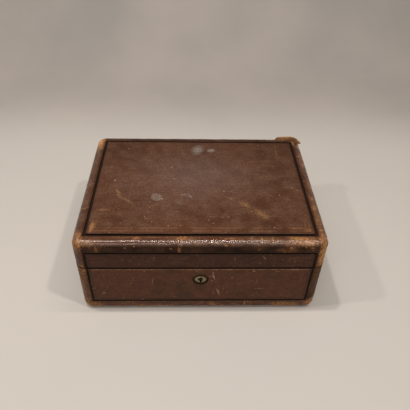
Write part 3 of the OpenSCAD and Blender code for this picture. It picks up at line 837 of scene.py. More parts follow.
@dataclass(frozen=True)
class MattPaper:
    """Matt backdrop paper with a faint unevenness, painted darker where it rises behind the case:
    painted shade, as less light falls there.
    """

    name: str
    colour: str = "#ccc4bb"
    clouds: str = "#c6beb6"
    far: str = "#b4aaa2"
    far_clouds: str = "#a49d97"
    cloud: float = 260.0
    far_start: float = 240.0
    far_end: float = 540.0

    def build(self) -> Material:
        """Mix two near shades in large clouds, and two darker ones behind the case as painted shade."""
        material, tree, place = new_material(self.name)
        clouds = add_node(tree, "TexNoise", {"Vector": place, "Scale": per_metre(self.cloud),
                                             "Detail": 5.0})
        folds = add_node(tree, "MapRange", (clouds, 0.36, 0.72))
        back = add_node(tree, "SeparateXYZ", (place,), out="Y")
        # painted shade: the paper darkens as it rises behind the case
        behind = add_node(tree, "MapRange", (back, self.far_start * MM, self.far_end * MM),
                          interpolation_type="SMOOTHSTEP")
        far = layered(tree, self.far, (folds, self.far_clouds))
        colour = layered(tree, self.colour, (clouds, self.clouds), (behind, far))
        finish_shader(tree, {"Base Color": colour, "Roughness": 0.9, "Specular IOR Level": 0.2})
        return material


@dataclass
class Sheet:
    """A surface of four-sided faces before it becomes a mesh.

    points holds x, y, z in millimetres, quads the four points of each face, uv the four places on the
    hide of each face in millimetres, and fields a value at each point under each name.
    """

    points: np.ndarray
    quads: np.ndarray
    uv: np.ndarray
    fields: dict[str, np.ndarray] = field(default_factory=dict)

    @classmethod
    def from_grid(
        cls,
        points: np.ndarray,
        uv: np.ndarray,
        fields: dict[str, np.ndarray] | None = None,
        left_out: np.ndarray | None = None,
        wrap: tuple[bool, bool] = (False, False),
    ) -> "Sheet":
        """Join the points of a grid into faces.

        Args:
            points: rows x columns x 3.
            uv: rows x columns x 2, with one row or column more in a direction that wraps.
            fields: values at the points.
            left_out: True at the points of an opening. A face with four such points is left out.
            wrap: whether the last row joins the first, and the last column the first.

        Returns:
            The sheet.
        """
        rows, columns = points.shape[:2]
        i, j = np.meshgrid(np.arange(rows - 1 + wrap[0]), np.arange(columns - 1 + wrap[1]),
                           indexing="ij")
        corner_i = np.stack([i, i + 1, i + 1, i], -1).reshape(-1, 4)
        corner_j = np.stack([j, j, j + 1, j + 1], -1).reshape(-1, 4)
        quads = (corner_i % rows) * columns + corner_j % columns
        corner_uv = uv[corner_i, corner_j]
        if left_out is not None:
            kept = ~left_out.ravel()[quads].all(-1)
            quads, corner_uv = quads[kept], corner_uv[kept]
        flat = {name: value.ravel() for name, value in (fields or {}).items()}
        return cls(points.reshape(-1, 3), quads, corner_uv, flat)

    def shelled(self, inner: np.ndarray) -> "Sheet":
        """Close the sheet with an inner side and a strip along every open edge.

        Args:
            inner: the inner place of each point.

        Returns:
            The closed sheet, without unused points.
        """
        count = len(self.points)
        start, end = self.quads, np.roll(self.quads, -1, axis=1)
        end_uv = np.roll(self.uv, -1, axis=1)
        is_open = ~np.isin(start * count + end, end * count + start)
        a, b = start[is_open], end[is_open]
        strip = np.stack([b, a, a + count, b + count], -1)
        uv_a, uv_b = self.uv[is_open], end_uv[is_open]
        strip_uv = np.stack([uv_b, uv_a, uv_a, uv_b], 1)
        quads = np.concatenate([self.quads, self.quads[:, ::-1] + count, strip])
        uv = np.concatenate([self.uv, self.uv[:, ::-1], strip_uv])
        used, place = np.unique(quads, return_inverse=True)
        points = np.concatenate([self.points, inner.reshape(-1, 3)])[used]
        fields = {name: np.concatenate([value, value])[used] for name, value in self.fields.items()}
        return Sheet(points, place.reshape(quads.shape), uv, fields)

    def facing_out(self) -> "Sheet":
        """Turn all faces over if their signed volume, a sum of a . (b x c), is negative."""
        a, b, c, d = (self.points[self.quads[:, corner]] for corner in range(4))
        volume = (a * np.cross(b, c)).sum() + (a * np.cross(c, d)).sum()
        if volume < 0:
            self.quads, self.uv = self.quads[:, ::-1], self.uv[:, ::-1]
        return self

    def make(
        self, name: str, material: Material, body: Body, slot: Slot, *nodes: str,
        polished: Material | None = None,
    ) -> Object:
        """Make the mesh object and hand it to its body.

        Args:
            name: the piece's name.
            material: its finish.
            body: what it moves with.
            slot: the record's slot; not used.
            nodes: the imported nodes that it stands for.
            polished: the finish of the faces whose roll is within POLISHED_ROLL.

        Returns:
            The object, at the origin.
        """
        closed = self.facing_out()
        mesh = bpy.data.meshes.new(name)
        mesh.from_pydata((closed.points * MM).tolist(), [], closed.quads.tolist())
        layer = mesh.uv_layers.new(name=UV_NAME)
        layer.data.foreach_set("uv", (closed.uv * MM).astype(np.float32).ravel())
        for key, value in closed.fields.items():
            attribute = mesh.attributes.new(key, "FLOAT", "POINT")
            attribute.data.foreach_set("value", value.astype(np.float32))
        mesh.polygons.foreach_set("use_smooth", np.ones(len(closed.quads), bool))
        mesh.set_sharp_from_angle(angle=SHARP_FROM)
        mesh.update()
        piece = bpy.data.objects.new(name, mesh)
        bpy.context.scene.collection.objects.link(piece)
        mesh.materials.append(material)
        if polished:
            mesh.materials.append(polished)
            roll = closed.fields["roll"][closed.quads].mean(axis=1)
            on_roll = (roll > POLISHED_ROLL[0]) & (roll < POLISHED_ROLL[1])
            mesh.polygons.foreach_set("material_index", on_roll.astype(np.int32))
        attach(piece, body.value)
        if nodes:
            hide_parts(*nodes)
        log.info("%s: %d faces, on %s", name, len(closed.quads), body.value)
        return piece


@dataclass(frozen=True)
class Piece:
    """A piece of hide or cloth that is worked out here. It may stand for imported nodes."""

    name: str
    body: Body
    slot: ClassVar[Slot]

    def sheet(self) -> Sheet:
        """Work out the piece's closed sheet."""
        raise NotImplementedError

    def build(self, material: Material, *nodes: str, polished: Material | None = None) -> Object:
        """Work the piece out and make its object.

        Args:
            material: its finish.
            nodes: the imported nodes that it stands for.
            polished: the finish of a rolled edge, where that is another one.

        Returns:
            The object, at the origin.
        """
        return self.sheet().make(self.name, material, self.body, self.slot, *nodes, polished=polished)


@dataclass(frozen=True)
class Walk:
    """Stations on the way round a plan, anticlockwise from the left end of the front.

    A station lies at arm * centre of the turn + radius * outward. from_corner is its distance from the
    wall's end, 0 on the turn, and way its distance along the outline, with one more for the way back.
    """

    arm: np.ndarray
    outward: np.ndarray
    from_corner: np.ndarray
    way: np.ndarray

    def part(self, start: float, end: float) -> "Walk":
        """Take the stations of a stretch of the way round.

        Args:
            start: way at which the stretch starts.
            end: way at which it ends.

        Returns:
            Those stations, with the last one's way once more at the end.
        """
        chosen = (self.way[:-1] >= start) & (self.way[:-1] <= end)
        way = self.way[:-1][chosen]
        return Walk(self.arm[chosen], self.outward[chosen], self.from_corner[chosen],
                    np.append(way, way[-1]))


@dataclass(frozen=True)
class Plan:
    """The case seen from above: a rectangle with rounded corners, and the rings inside it."""

    half_x: float
    half_y: float
    corner_r: float = 13.0
    least_r: float = 0.6

    def half_length(self, wall: Wall) -> float:
        """Half of a wall's length."""
        return self.half_x if wall in (Wall.FRONT, Wall.BACK) else self.half_y

    def half_across(self, wall: Wall) -> float:
        """Distance of a wall's face from the middle."""
        return self.half_y if wall in (Wall.FRONT, Wall.BACK) else self.half_x

    def walk(self, near: np.ndarray, pitch: float, turn_steps: int = 16) -> Walk:
        """Place stations along the four walls and round the four corners.

        Args:
            near: distances from a wall's end at which stations are wanted, from corner_r up.
            pitch: widest pitch of the stations between those.
            turn_steps: steps round a corner.

        Returns:
            The stations.
        """
        arms, outwards, distances = [], [], []
        turn = np.linspace(0, math.pi / 2, turn_steps + 1)[1:-1, None]
        for wall in Wall:
            length = 2 * self.half_length(wall)
            middle = lines((near[-1], length - near[-1]), pitch)[1:-1]
            way = np.concatenate([near, middle, length - near[::-1]])
            share = (way - length / 2) / (length / 2 - self.corner_r)
            arms += [share[:, None] * wall.along + wall.outward,
                     np.tile(wall.along + wall.outward, (len(turn), 1))]
            outwards += [np.tile(wall.outward, (len(way), 1)),
                         np.cos(turn) * wall.outward + np.sin(turn) * wall.along]
            distances += [np.minimum(way, length - way), np.zeros(len(turn))]
        arm, outward = np.concatenate(arms), np.concatenate(outwards)
        stations = Walk(arm, outward, np.concatenate(distances), np.zeros(len(arm) + 1))
        edge = self.ring(stations, np.zeros(len(arm)))
        steps = np.linalg.norm(np.roll(edge, -1, axis=0) - edge, axis=-1)
        return replace(stations, way=np.concatenate([[0], np.cumsum(steps)]))

    def ring(self, walk: Walk, inset: np.ndarray) -> np.ndarray:
        """Places that lie inside the plan's edge by the inset: centre of the turn + radius * outward.

        Args:
            walk: the stations.
            inset: distance in from the edge, with the stations last.

        Returns:
            x and y of each, last.
        """
        turn = np.maximum(self.corner_r - inset, self.least_r)
        centre = np.stack([self.half_x - inset - turn, self.half_y - inset - turn], -1)
        return walk.arm * centre + turn[..., None] * walk.outward

    def at(self, walk: Walk, inset: np.ndarray, z: np.ndarray | float) -> np.ndarray:
        """Points at an inset and a height: the ring's x and y with z."""
        ring = self.ring(walk, inset)
        return np.concatenate([ring, np.broadcast_to(z, inset.shape)[..., None]], -1)


@dataclass(frozen=True)
class Half:
    """The lid or the base. A drop is a distance from its closed face towards its rim."""

    face_z: float
    to_rim: int
    rim_drop: float
    axis_drop: float
    axis_y: float
    wall_band: float
    groove_w: float
    corner_band: float
    hide_t: float
    rim_turn: float = 0.8
    rim_rows: int = 4
    bevel: float = 51.0
    knuckle_room: float = 3.1

    @classmethod
    def measured(cls, body: Body) -> "Half":
        """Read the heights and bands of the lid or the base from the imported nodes.

        Args:
            body: Body.LID for the lid, else the base.

        Returns:
            The half.
        """
        is_lid = body is Body.LID
        corner = span(f"{'lid' if is_lid else 'base'}_corner_front_left")
        ring = span("lid_top_edging" if is_lid else "base_foot_edging")
        face, rim = (1, 0) if is_lid else (0, 1)  # 0 is a box's lowest corner
        pins, panel = span("hinge_pins"), span("base_left_panel")
        face_z, band_z = ring[face, 2], corner[face, 2]
        groove_w = abs(ring[rim, 2] - band_z)
        return cls(
            face_z=face_z, to_rim=-1 if is_lid else 1, rim_drop=abs(corner[rim, 2] - face_z),
            axis_drop=abs(pins[:, 2].mean() - face_z), axis_y=pins[:, 1].mean(),
            wall_band=abs(band_z - face_z), groove_w=groove_w,
            corner_band=np.ptp(corner[:, 0]) - groove_w, hide_t=np.ptp(panel[:, 0]))

    def bend(self) -> np.ndarray:
        """Angles of the rows on the turned rim, up to a quarter turn."""
        return np.linspace(0, math.pi / 2, self.rim_rows + 1)[1:]

    def height(self, drop: np.ndarray) -> np.ndarray:
        """Height z of a drop."""
        return self.face_z + self.to_rim * drop

    def rim(self, y: np.ndarray) -> np.ndarray:
        """Drop of the rim at y: level, then along the bevel that stops the lid behind the pins."""
        beyond = np.maximum(y - self.axis_y, 0)
        return np.minimum(self.rim_drop, self.axis_drop - beyond * math.tan(math.radians(self.bevel)))


def quarter_round(inside: np.ndarray, radius: float) -> np.ndarray:
    """Depth of a rounded edge at a distance inside it: r - sqrt(r^2 - (r - distance)^2)."""
    return radius - np.sqrt(radius ** 2 - np.clip(radius - inside, 0, radius) ** 2)


def sunk(into: np.ndarray, depth: float, lip: float, side: float = 0.22) -> np.ndarray:
    """Depth of the surface at a groove's edge: a quarter round lip, then a steep side.

    Args:
        into: distance into the groove, negative on the band beside it.
        depth: the groove's depth.
        lip: radius of the lip.
        side: how far the steep side runs in.

    Returns:
        Depth below the band.
    """
    return np.where(into <= 0, quarter_round(-into, lip), lip + (depth - lip) * ramp(into, 0, side))


@dataclass(frozen=True)
class Spots:
    """Where the points of the edging lie.

    flat is their places before the hide sinks or swells, roll their angle on the rolled edge, 0 on the
    face and 90 on the wall, into and across how far they are into the wall grooves and the face groove,
    drop and above_rim how far they are from the closed face and from the rim. walk is the stations.
    """

    flat: np.ndarray
    roll: np.ndarray
    into: np.ndarray
    across: np.ndarray
    drop: np.ndarray
    above_rim: np.ndarray
    walk: Walk


@dataclass(frozen=True)
class EdgingHide(Piece):
    """The edging and the four corner bands of lid or base, one hide that rolls over the edge.

    Its profile starts at the inner end on the closed face, rolls over the edge and comes down the
    wall. Below the band only the corners go on, down to the rim, where the hide turns over.
    """

    half: Half
    plan: Plan
    face_band: float
    face_groove_w: float
    rubs: tuple[Rub, ...]
    background_wear: float = 0.0
    # how dark the painted shade under the rolled edge and on the back band is
    soot: float = 0.0
    edge_r: float = 9.0
    face_groove_depth: float = 1.8
    wall_groove_depth: float = 1.2
    lip: float = 0.7
    pitch: float = 1.7
    looseness: float = 0.24
    abrasion: float = 0.35
    inner_end: float = 0.96
    roll_rows: int = 14
    before_lip: float = 0.75
    past_lip: float = 0.25
    past_corner_lip: float = 0.24
    face_pitches: tuple[float, ...] = (1.4, 0.14, 1.1)
    foot_pitches: tuple[float, ...] = (0.19, 1.1)
    wall_pitches: tuple[float, ...] = (1.0, 0.14, 0.8)
    corner_pitches: tuple[float, ...] = (0.3, 0.16, 0.8)
    slot: ClassVar[Slot] = Slot.EDGING

    def profile(self) -> dict[str, np.ndarray]:
        """Work out the profile's rows, close together at the lips of the grooves.

        Returns:
            inset and start: where a row lies before it is stretched down to the rim; share: how far
            it is stretched; turn: its rise on the turned rim; out and face: its normal; inner_inset,
            inner_start and inner_share: the same for the inner side; roll: the angle on the edge.
        """
        half, r = self.half, self.edge_r
        thick, inner_r = half.hide_t, self.edge_r - half.hide_t
        start, on_face, on_wall = self.face_band + self.face_groove_w, self.face_band, half.wall_band
        lip_end = on_face - self.before_lip
        if self.face_groove_w:
            face = lines((start, on_face + self.past_lip, lip_end, r), *self.face_pitches)
        else:
            face = lines((start, lip_end, r), *self.foot_pitches)
        angle = np.linspace(0, math.pi / 2, self.roll_rows + 1)[1:]
        end = on_wall + half.groove_w
        stops = (r, on_wall - self.before_lip, on_wall + self.past_lip, end)
        wall = lines(stops, *self.wall_pitches)[1:]
        down = np.linspace(0, 1, math.ceil((half.rim_drop - end) / self.pitch) + 1)[1:]
        bend = half.bend()
        counts = [len(stretch) for stretch in (face, angle, wall, down, bend)]

        def rows(*parts: np.ndarray | float) -> np.ndarray:
            """Join one value or array for each stretch of the profile."""
            return np.concatenate([np.broadcast_to(part, count) for part, count in zip(parts, counts)])

        turn = half.rim_turn
        last = self.inner_end + (1 - self.inner_end) * bend / bend[-1]
        return {
            "inset": rows(face, r * (1 - np.sin(angle)), 0, 0, turn * (1 - np.cos(bend))),
            "start": rows(0, r * (1 - np.cos(angle)), wall, end, end),
            "share": rows(0, 0, 0, down, 1),
            "turn": rows(0, 0, 0, 0, turn * np.sin(bend)),
            "out": rows(0, np.sin(angle), 1, 1, np.cos(bend)),
            "face": rows(1, np.cos(angle), 0, 0, 0),
            "inner_inset": rows(face, r - inner_r * np.sin(angle), thick, thick, thick),
            "inner_start": rows(thick, r - inner_r * np.cos(angle), wall, end, end),
            "inner_share": rows(0, 0, 0, self.inner_end * down, last),
            "roll": rows(0, np.degrees(angle), 90, 90, 90),
        }

    def sheet(self) -> Sheet:
        """Carry the profile round the case, sink the grooves into it and close it.

        Returns:
            The closed sheet.
        """
        half, plan = self.half, self.plan
        row = {key: value[:, None] for key, value in self.profile().items()}
        band = half.corner_band
        stops = (plan.corner_r, band - self.lip, band + self.past_corner_lip, band + half.groove_w)
        walk = plan.walk(lines(stops, *self.corner_pitches), self.pitch)
        wide = np.ones((1, len(walk.arm)))

        inset = row["inset"] * wide
        limit = half.rim(plan.ring(walk, inset)[..., 1])
        drop = row["start"] + row["share"] * (limit - half.rim_turn - row["start"]) + row["turn"]
        into = np.minimum(drop - half.wall_band, walk.from_corner - half.corner_band)
        across = inset - self.face_band
        flat = plan.at(walk, inset, half.height(drop))
        spots = Spots(flat, row["roll"] * wide, into, across, drop, limit - drop, walk)

        wear = self.wear(spots)
        groove = np.maximum(sunk(into, self.wall_groove_depth, self.lip),
                            sunk(across, self.face_groove_depth, self.lip) * (row["roll"] < 1))
        quiet = ramp(limit - drop, 0.3, 4) * ramp(-np.maximum(into, across), -0.1, 1.5)
        loose = np.clip(uneven(flat, 0.5, (0.25, 26, 3), (0.12, 7, 4)), 0, 1)
        ragged = wear + uneven(flat, 0, (0.16, 3.4, 5), (0.14, 9, 6))
        depth = groove + quiet * (self.looseness * loose + self.abrasion * ramp(ragged, 0.42, 0.75))
        outer = plan.at(walk, inset + depth * row["out"], half.height(drop + depth * row["face"]))

        inner_inset = row["inner_inset"] * wide
        inner_limit = half.rim(plan.ring(walk, inner_inset)[..., 1])
        inner_drop = row["inner_start"] + row["inner_share"] * (inner_limit - row["inner_start"])
        inner = plan.at(walk, inner_inset, half.height(inner_drop))

        steps = np.hypot(np.diff(inset, axis=0), np.diff(drop, axis=0))
        run = np.concatenate([np.zeros_like(wide), np.cumsum(steps, axis=0)])
        run = np.concatenate([run, run[:, :1]], axis=1)
        uv = np.stack([np.broadcast_to(walk.way, run.shape), run], -1)
        fields = {
            "wear": wear,
            # grime and painted shade
            "dye": self.soil(spots, wear),
            # dust and painted shade beside the grooves
            "bloom": 0.4 * ramp(np.maximum(into, across), -5, -0.6),
            "roll": spots.roll,
        }
        in_groove = into > half.groove_w - TINY
        return Sheet.from_grid(outer, uv, fields, in_groove, (False, True)).shelled(inner)

    def wear(self, spots: Spots) -> np.ndarray:
        """Say how rubbed the hide is: on the rolled edge, on lips and rim, on corners and in rubs.

        Args:
            spots: where the points lie.

        Returns:
            Wear from 0 to 1.
        """
        crest = bell(spots.roll, 55, 35)
        turned = (spots.walk.from_corner == 0) * 1.0
        wear = self.background_wear + 0.10 * crest + 0.16 * crest * turned + 0.12 * turned
        wear = wear + 0.20 * bell(np.maximum(spots.into, spots.across), -0.7, 0.5)
        wear = wear + 0.30 * bell(spots.above_rim, 1.9, 0.7)
        wear = wear + crest * uneven(spots.flat, 0, (0.08, 55, 8))
        return np.clip(np.maximum(wear, rubbed(spots.flat, self.rubs)), 0, 1)

    def soil(self, spots: Spots, wear: np.ndarray) -> np.ndarray:
        """Say how dark the hide is painted: painted shade under the roll, on the back band, on the
        uprights, most on the right, and at the rim; grime and painted shade in and beside the grooves.

        Args:
            spots: where the points lie.
            wear: how rubbed they are, which takes painted shade and grime off.

        Returns:
            Darkness from 0 to 1.
        """
        flat, into, across, walk = spots.flat, spots.into, spots.across, spots.walk
        on_face = spots.roll < 1
        # painted shade under the roll and on the back band, less where rubbed
        behind = 0.75 * ramp(flat[..., 1], self.plan.half_y - 13.5, self.plan.half_y - 12)
        roll_shade_share = self.soot * np.maximum(ramp(spots.roll, 38, 70), behind) * (walk.from_corner > 0)
        roll_shade_share = roll_shade_share * (1 - 0.85 * ramp(wear, 0.42, 0.8)) * (into < 0)
        roll_shade_share = roll_shade_share * np.clip(uneven(flat, 0.86, (0.14, 14, 9)), 0, 1.1)
        # grime and painted shade in the grooves, then painted shade beside the face groove on the sides
        grime_and_shade_share = 0.92 * np.maximum(ramp(into, -1.0, 0.1), ramp(across, -1.1, 0.1))
        beside = np.abs(walk.outward[:, 0]) * on_face
        grime_and_shade_share = np.maximum(grime_and_shade_share, 0.5 * ramp(across, -3.6, -0.5) * beside)
        band = self.half.wall_band
        # painted shade on the uprights below the band, most on the right side
        upright = ramp(spots.drop, band - 2, band + 6)
        handled = uneven(flat, 0.35 + 0.21 * np.sign(flat[..., 0]), (0.12, 30, 12))
        grime_and_shade_share = np.maximum(grime_and_shade_share, upright * handled * (1 - 0.7 * ramp(wear, 0.45, 0.85)))
        # painted shade in the gap at the rim
        return np.max([roll_shade_share, grime_and_shade_share, 0.95 * ramp(spots.above_rim, 1.2, 0.4)], axis=0)


@dataclass(frozen=True)
class RoundOpening:
    """A round hole in a grid: a square hole whose grid lines are drawn out to a circle."""

    along: float
    drop: float
    radius: float
    square: float = 8.5
    reach: float = 15.0
    pitch: float = 0.9

    def lines(self, start: float, at: float, end: float, *pitches: float) -> np.ndarray:
        """Grid lines from start to end that meet the square hole, whose middle is at a place.

        Args:
            start: the first line.
            at: the hole's middle.
            end: the last line.
            pitches: widest pitch before the hole's reach and after it.

        Returns:
            Every line once.
        """
        stops = (start, at - self.reach, at - self.square, at + self.square, at + self.reach, end)
        return lines(stops, pitches[0], *(self.pitch,) * 3, pitches[1])

    def warped(self, along: np.ndarray, drop: np.ndarray) -> tuple[np.ndarray, np.ndarray, np.ndarray]:
        """Draw the lines round the hole out, from the circle at the square hole to none at reach.

        Args:
            along: way along the wall.
            drop: way across it.

        Returns:
            The new along and drop, and True inside the hole.
        """
        x, y = along - self.along, drop - self.drop
        square = np.maximum(np.abs(x), np.abs(y))
        far = np.maximum(np.hypot(x, y), TINY)
        share = np.clip((square - self.square) / (self.reach - self.square), 0, 1)
        scale = np.where(square < self.reach, (1 - share) * self.radius / far + share, 1)
        return self.along + x * scale, self.drop + y * scale, square <= self.square + TINY


@dataclass(frozen=True)
class WallPanel(Piece):
    """A panel of hide on one wall of lid or base, glued down inside the grooves."""

    half: Half
    plan: Plan
    wall: Wall
    rubs: tuple[Rub, ...] = ()
    hinges: np.ndarray | None = None
    opening: RoundOpening | None = None
    rim_wear: float = 0.2
    # how far from the rim the painted shade of the gap reaches
    rim_dirt: float = 1.2
    slack: float = 0.05
    edge_r: float = 0.8
    crown: float = 0.22
    looseness: float = 0.14
    pitch: float = 1.7
    edge_lines: tuple[float, ...] = (0, 0.1, 0.25, 0.45, 0.7, 1.0, 1.5)
    slot: ClassVar[Slot] = Slot.PANEL

    def placed(self, way: np.ndarray, inset: np.ndarray, drop: np.ndarray) -> np.ndarray:
        """Points on the wall: middle + along * way + outward * (distance of the face - inset)."""
        out = self.plan.half_across(self.wall) - inset
        ground = way[..., None] * self.wall.along + out[..., None] * self.wall.outward
        return np.concatenate([ground, self.half.height(drop)[..., None]], -1)

    def sheet(self) -> Sheet:
        """Lay the panel out as a grid, crown it, round its edges and close it.

        Returns:
            The closed sheet.
        """
        half = self.half
        end = self.plan.half_length(self.wall) - half.corner_band - half.groove_w - self.slack
        start = half.wall_band + half.groove_w + self.slack
        way, drop_lines = self.grid_lines(end, start)
        share = (drop_lines - start) / (drop_lines[-1] - start)
        share = np.append(share, np.ones(half.rim_rows))[:, None]
        bend = np.append(np.zeros(len(drop_lines)), half.bend())[:, None]
        way = way[None] * np.ones_like(share)
        turn = half.rim_turn
        inset = turn * (1 - np.cos(bend)) * np.ones_like(way)
        limit = half.rim(self.placed(way, inset, 0 * way)[..., 1])
        drop = start + share * (limit - turn - start) + turn * np.sin(bend)
        hole = None
        if self.opening:
            way, drop, hole = self.opening.warped(way, drop)
        border = np.minimum(end - np.abs(way), drop - start)
        above_rim = limit - drop

        flat = self.placed(way, inset, drop)
        loose = np.clip(uneven(flat, 0.5, (0.25, 38, 13), (0.1, 8, 14)), 0, 1)
        swell = self.crown * (1 - ramp(border, 0, 14)) + self.looseness * loose
        depth = quarter_round(border, self.edge_r) + ramp(above_rim, 0.3, 5) * swell
        outer = self.placed(way, inset + depth, drop)
        rim_rub = bell(above_rim, 1.9, 0.6) * uneven(flat, self.rim_wear, (0.07, 45, 17))
        wear = np.maximum(0.20 * bell(border, 0.9, 0.6) + rim_rub, rubbed(flat, self.rubs))
        # painted shade in the gap at the rim
        rim_gap_shade = 0.97 * ramp(above_rim, self.rim_dirt, 0.6 * self.rim_dirt - 0.2)
        fields = {
            "wear": np.clip(wear, 0, 1),
            # grime and painted shade at the grooves, and the painted shade at the rim
            "dye": np.maximum(ramp(border, 0.9, 0.0), rim_gap_shade),
            # dust and painted shade beside the grooves
            "bloom": 0.75 * ramp(border, 7, 0.5),
        }
        sheet = Sheet.from_grid(outer, np.stack([way, drop], -1), fields, hole)
        return sheet.shelled(self.inner(way, start, share, bend, drop))

    def inner(
        self, way: np.ndarray, start: float, share: np.ndarray, bend: np.ndarray, drop: np.ndarray
    ) -> np.ndarray:
        """Points of the glued side, which ends above the hinges' knuckles and short of the rim.

        Args:
            way: ways along the wall.
            start: drop of the panel's edge at the groove.
            share: how far down the panel a row lies, from 0 to 1.
            bend: angle on the turned rim.
            drop: drops of the outer side.

        Returns:
            The points.
        """
        half = self.half
        inset = np.full_like(way, half.hide_t)
        limit = half.rim(self.placed(way, inset, 0 * way)[..., 1])
        if self.hinges is not None:
            behind = self.plan.half_y - half.hide_t - half.axis_y
            room = half.axis_drop - math.sqrt(half.knuckle_room ** 2 - behind ** 2)
            beside = np.abs(np.abs(way) - self.hinges.mean())
            limit = np.where(beside <= np.ptp(self.hinges) / 2 + TINY, room, limit)
        inner_drop = start + (share * 0.97 + 0.03 * np.sin(bend)) * (limit - start)
        if self.opening:
            inner_drop = np.where(bend > 0, inner_drop, np.minimum(drop, inner_drop))
        return self.placed(way, inset, inner_drop)

    def grid_lines(self, end: float, start: float) -> tuple[np.ndarray, np.ndarray]:
        """Lines across and along the panel, close together at its edges, the hole and the hinges.

        Args:
            end: distance of the panel's end from the wall's middle.
            start: drop of the panel's edge at the groove.

        Returns:
            Ways along the wall and drops.
        """
        edge = np.array(self.edge_lines)
        last, first_drop = end - edge[-1], start + edge[-1]
        rim = self.half.rim_drop - self.half.rim_turn
        down = lines((first_drop, rim), self.pitch)
        middle = lines((-last, last), self.pitch)
        if self.opening:
            hole = self.opening
            middle = hole.lines(-last, hole.along, last, self.pitch, self.pitch)
            down = hole.lines(first_drop, hole.drop, rim, self.pitch, 1.4)
        elif self.hinges is not None:
            low, high = self.hinges
            stops = [low - 0.1, low, high, high + 0.1, last]
            stops = [-stop for stop in reversed(stops)] + stops
            middle = lines(stops, *(self.pitch, 0.1) * 4, self.pitch)
        return edged(end, edge, middle), np.concatenate([start + edge[:-1], down])


def edged(half: float, edge: np.ndarray, middle: np.ndarray) -> np.ndarray:
    """Grid lines from -half to half: those at the edges' distances, with the middle ones between."""
    return np.concatenate([edge[:-1] - half, middle, half - edge[-2::-1]])


def slab(
    half_x: float, half_y: float, edge: np.ndarray, pitch: float
) -> tuple[np.ndarray, np.ndarray, np.ndarray]:
    """Lay a grid over a rectangle, with lines close together at its edges.

    Args:
        half_x: half of the width.
        half_y: half of the depth.
        edge: distances of the lines at an edge, from 0 up.
        pitch: widest pitch of the other lines.

    Returns:
        x and y of the points, and their distance from the nearest edge.
    """
    x, y = (edged(half, edge, lines((edge[-1] - half, half - edge[-1]), pitch))
            for half in (half_x, half_y))
    y, x = np.meshgrid(y, x, indexing="ij")
    return x, y, np.minimum(half_x - np.abs(x), half_y - np.abs(y))


@dataclass(frozen=True)
class TopPanel(Piece):
    """The raised panel on the lid: a slab of hide with rounded edges, a little sunk and rubbed."""

    box: np.ndarray
    rubs: tuple[Rub, ...]
    edge_r: float = 1.2
    corner_r: float = 2.4
    crown: float = 0.18
    looseness: float = 0.22
    waver: float = 0.35
    # where the painted sheen, a pale painted reflection of the backdrop, lies on the top
    hazy: Rub = Rub((-8, 12, TOP_Z), (80, 52, 20), 0.7)
    pitch: float = 1.7
    edge_lines: tuple[float, ...] = (0, 0.08, 0.22, 0.42, 0.7, 1.05, 1.6, 2.4)
    slot: ClassVar[Slot] = Slot.PANEL

    def sheet(self) -> Sheet:
        """Lay out the grid, round its corners and edges, and close it underneath.

        Returns:
            The closed sheet.
        """
        half_x, half_y, top = self.box[1]
        x, y, border = slab(half_x, half_y, np.array(self.edge_lines), self.pitch)
        x, y = self.rounded(x, y, half_x, half_y)
        flat = np.stack([x, y, np.full_like(x, top)], -1)
        waver = self.waver * np.clip(uneven(flat, 0.5, (0.4, 24, 21)), 0, 1)
        x = x - np.sign(x) * waver * np.exp(-(half_x - np.abs(x)) / 2)
        y = y - np.sign(y) * waver * np.exp(-(half_y - np.abs(y)) / 2)
        loose = np.clip(uneven(flat, 0.5, (0.28, 60, 22), (0.08, 12, 23)), 0, 1)
        depth = quarter_round(border, self.edge_r) + self.crown * (1 - ramp(border, 0, 30))
        outer = np.stack([x, y, top - depth - self.looseness * loose], -1)
        inner = np.stack([x, y, np.full_like(x, self.box[0, 2])], -1)
        fields = {
            "wear": np.clip(np.maximum(0.22 * bell(border, 1.1, 0.8), rubbed(flat, self.rubs)), 0, 1),
            # grime and painted shade at the groove, and painted shade darker towards the back and the
            # right
            "dye": np.maximum(ramp(border, 0.8, 0.0), 0.12 * ramp(y, 0, 85) + 0.1 * ramp(x, 40, 130)),
            # dust and painted shade beside the groove
            "bloom": 0.4 * ramp(border, 5, 0.8),
            # painted sheen: a pale reflection of the backdrop, painted on the middle of the top
            "haze": self.hazy.field(flat),
        }
        return Sheet.from_grid(outer, np.stack([x, y], -1), fields).shelled(inner)

    def rounded(
        self, x: np.ndarray, y: np.ndarray, half_x: float, half_y: float
    ) -> tuple[np.ndarray, np.ndarray]:
        """Draw each square corner of the grid in to a quarter round.

        A point at (a, b) from the centre of the round moves to (a, b) * max(a, b) / |(a, b)|.

        Args:
            x: places across.
            y: places from front to back.
            half_x: half of the width.
            half_y: half of the depth.

        Returns:
            The new x and y.
        """
        a = np.maximum(np.abs(x) - half_x + self.corner_r, 0)
        b = np.maximum(np.abs(y) - half_y + self.corner_r, 0)
        scale = np.maximum(a, b) / np.maximum(np.hypot(a, b), TINY)
        in_corner = (a > 0) & (b > 0)
        new_x = np.where(in_corner, np.sign(x) * (half_x - self.corner_r + a * scale), x)
        new_y = np.where(in_corner, np.sign(y) * (half_y - self.corner_r + b * scale), y)
        return new_x, new_y


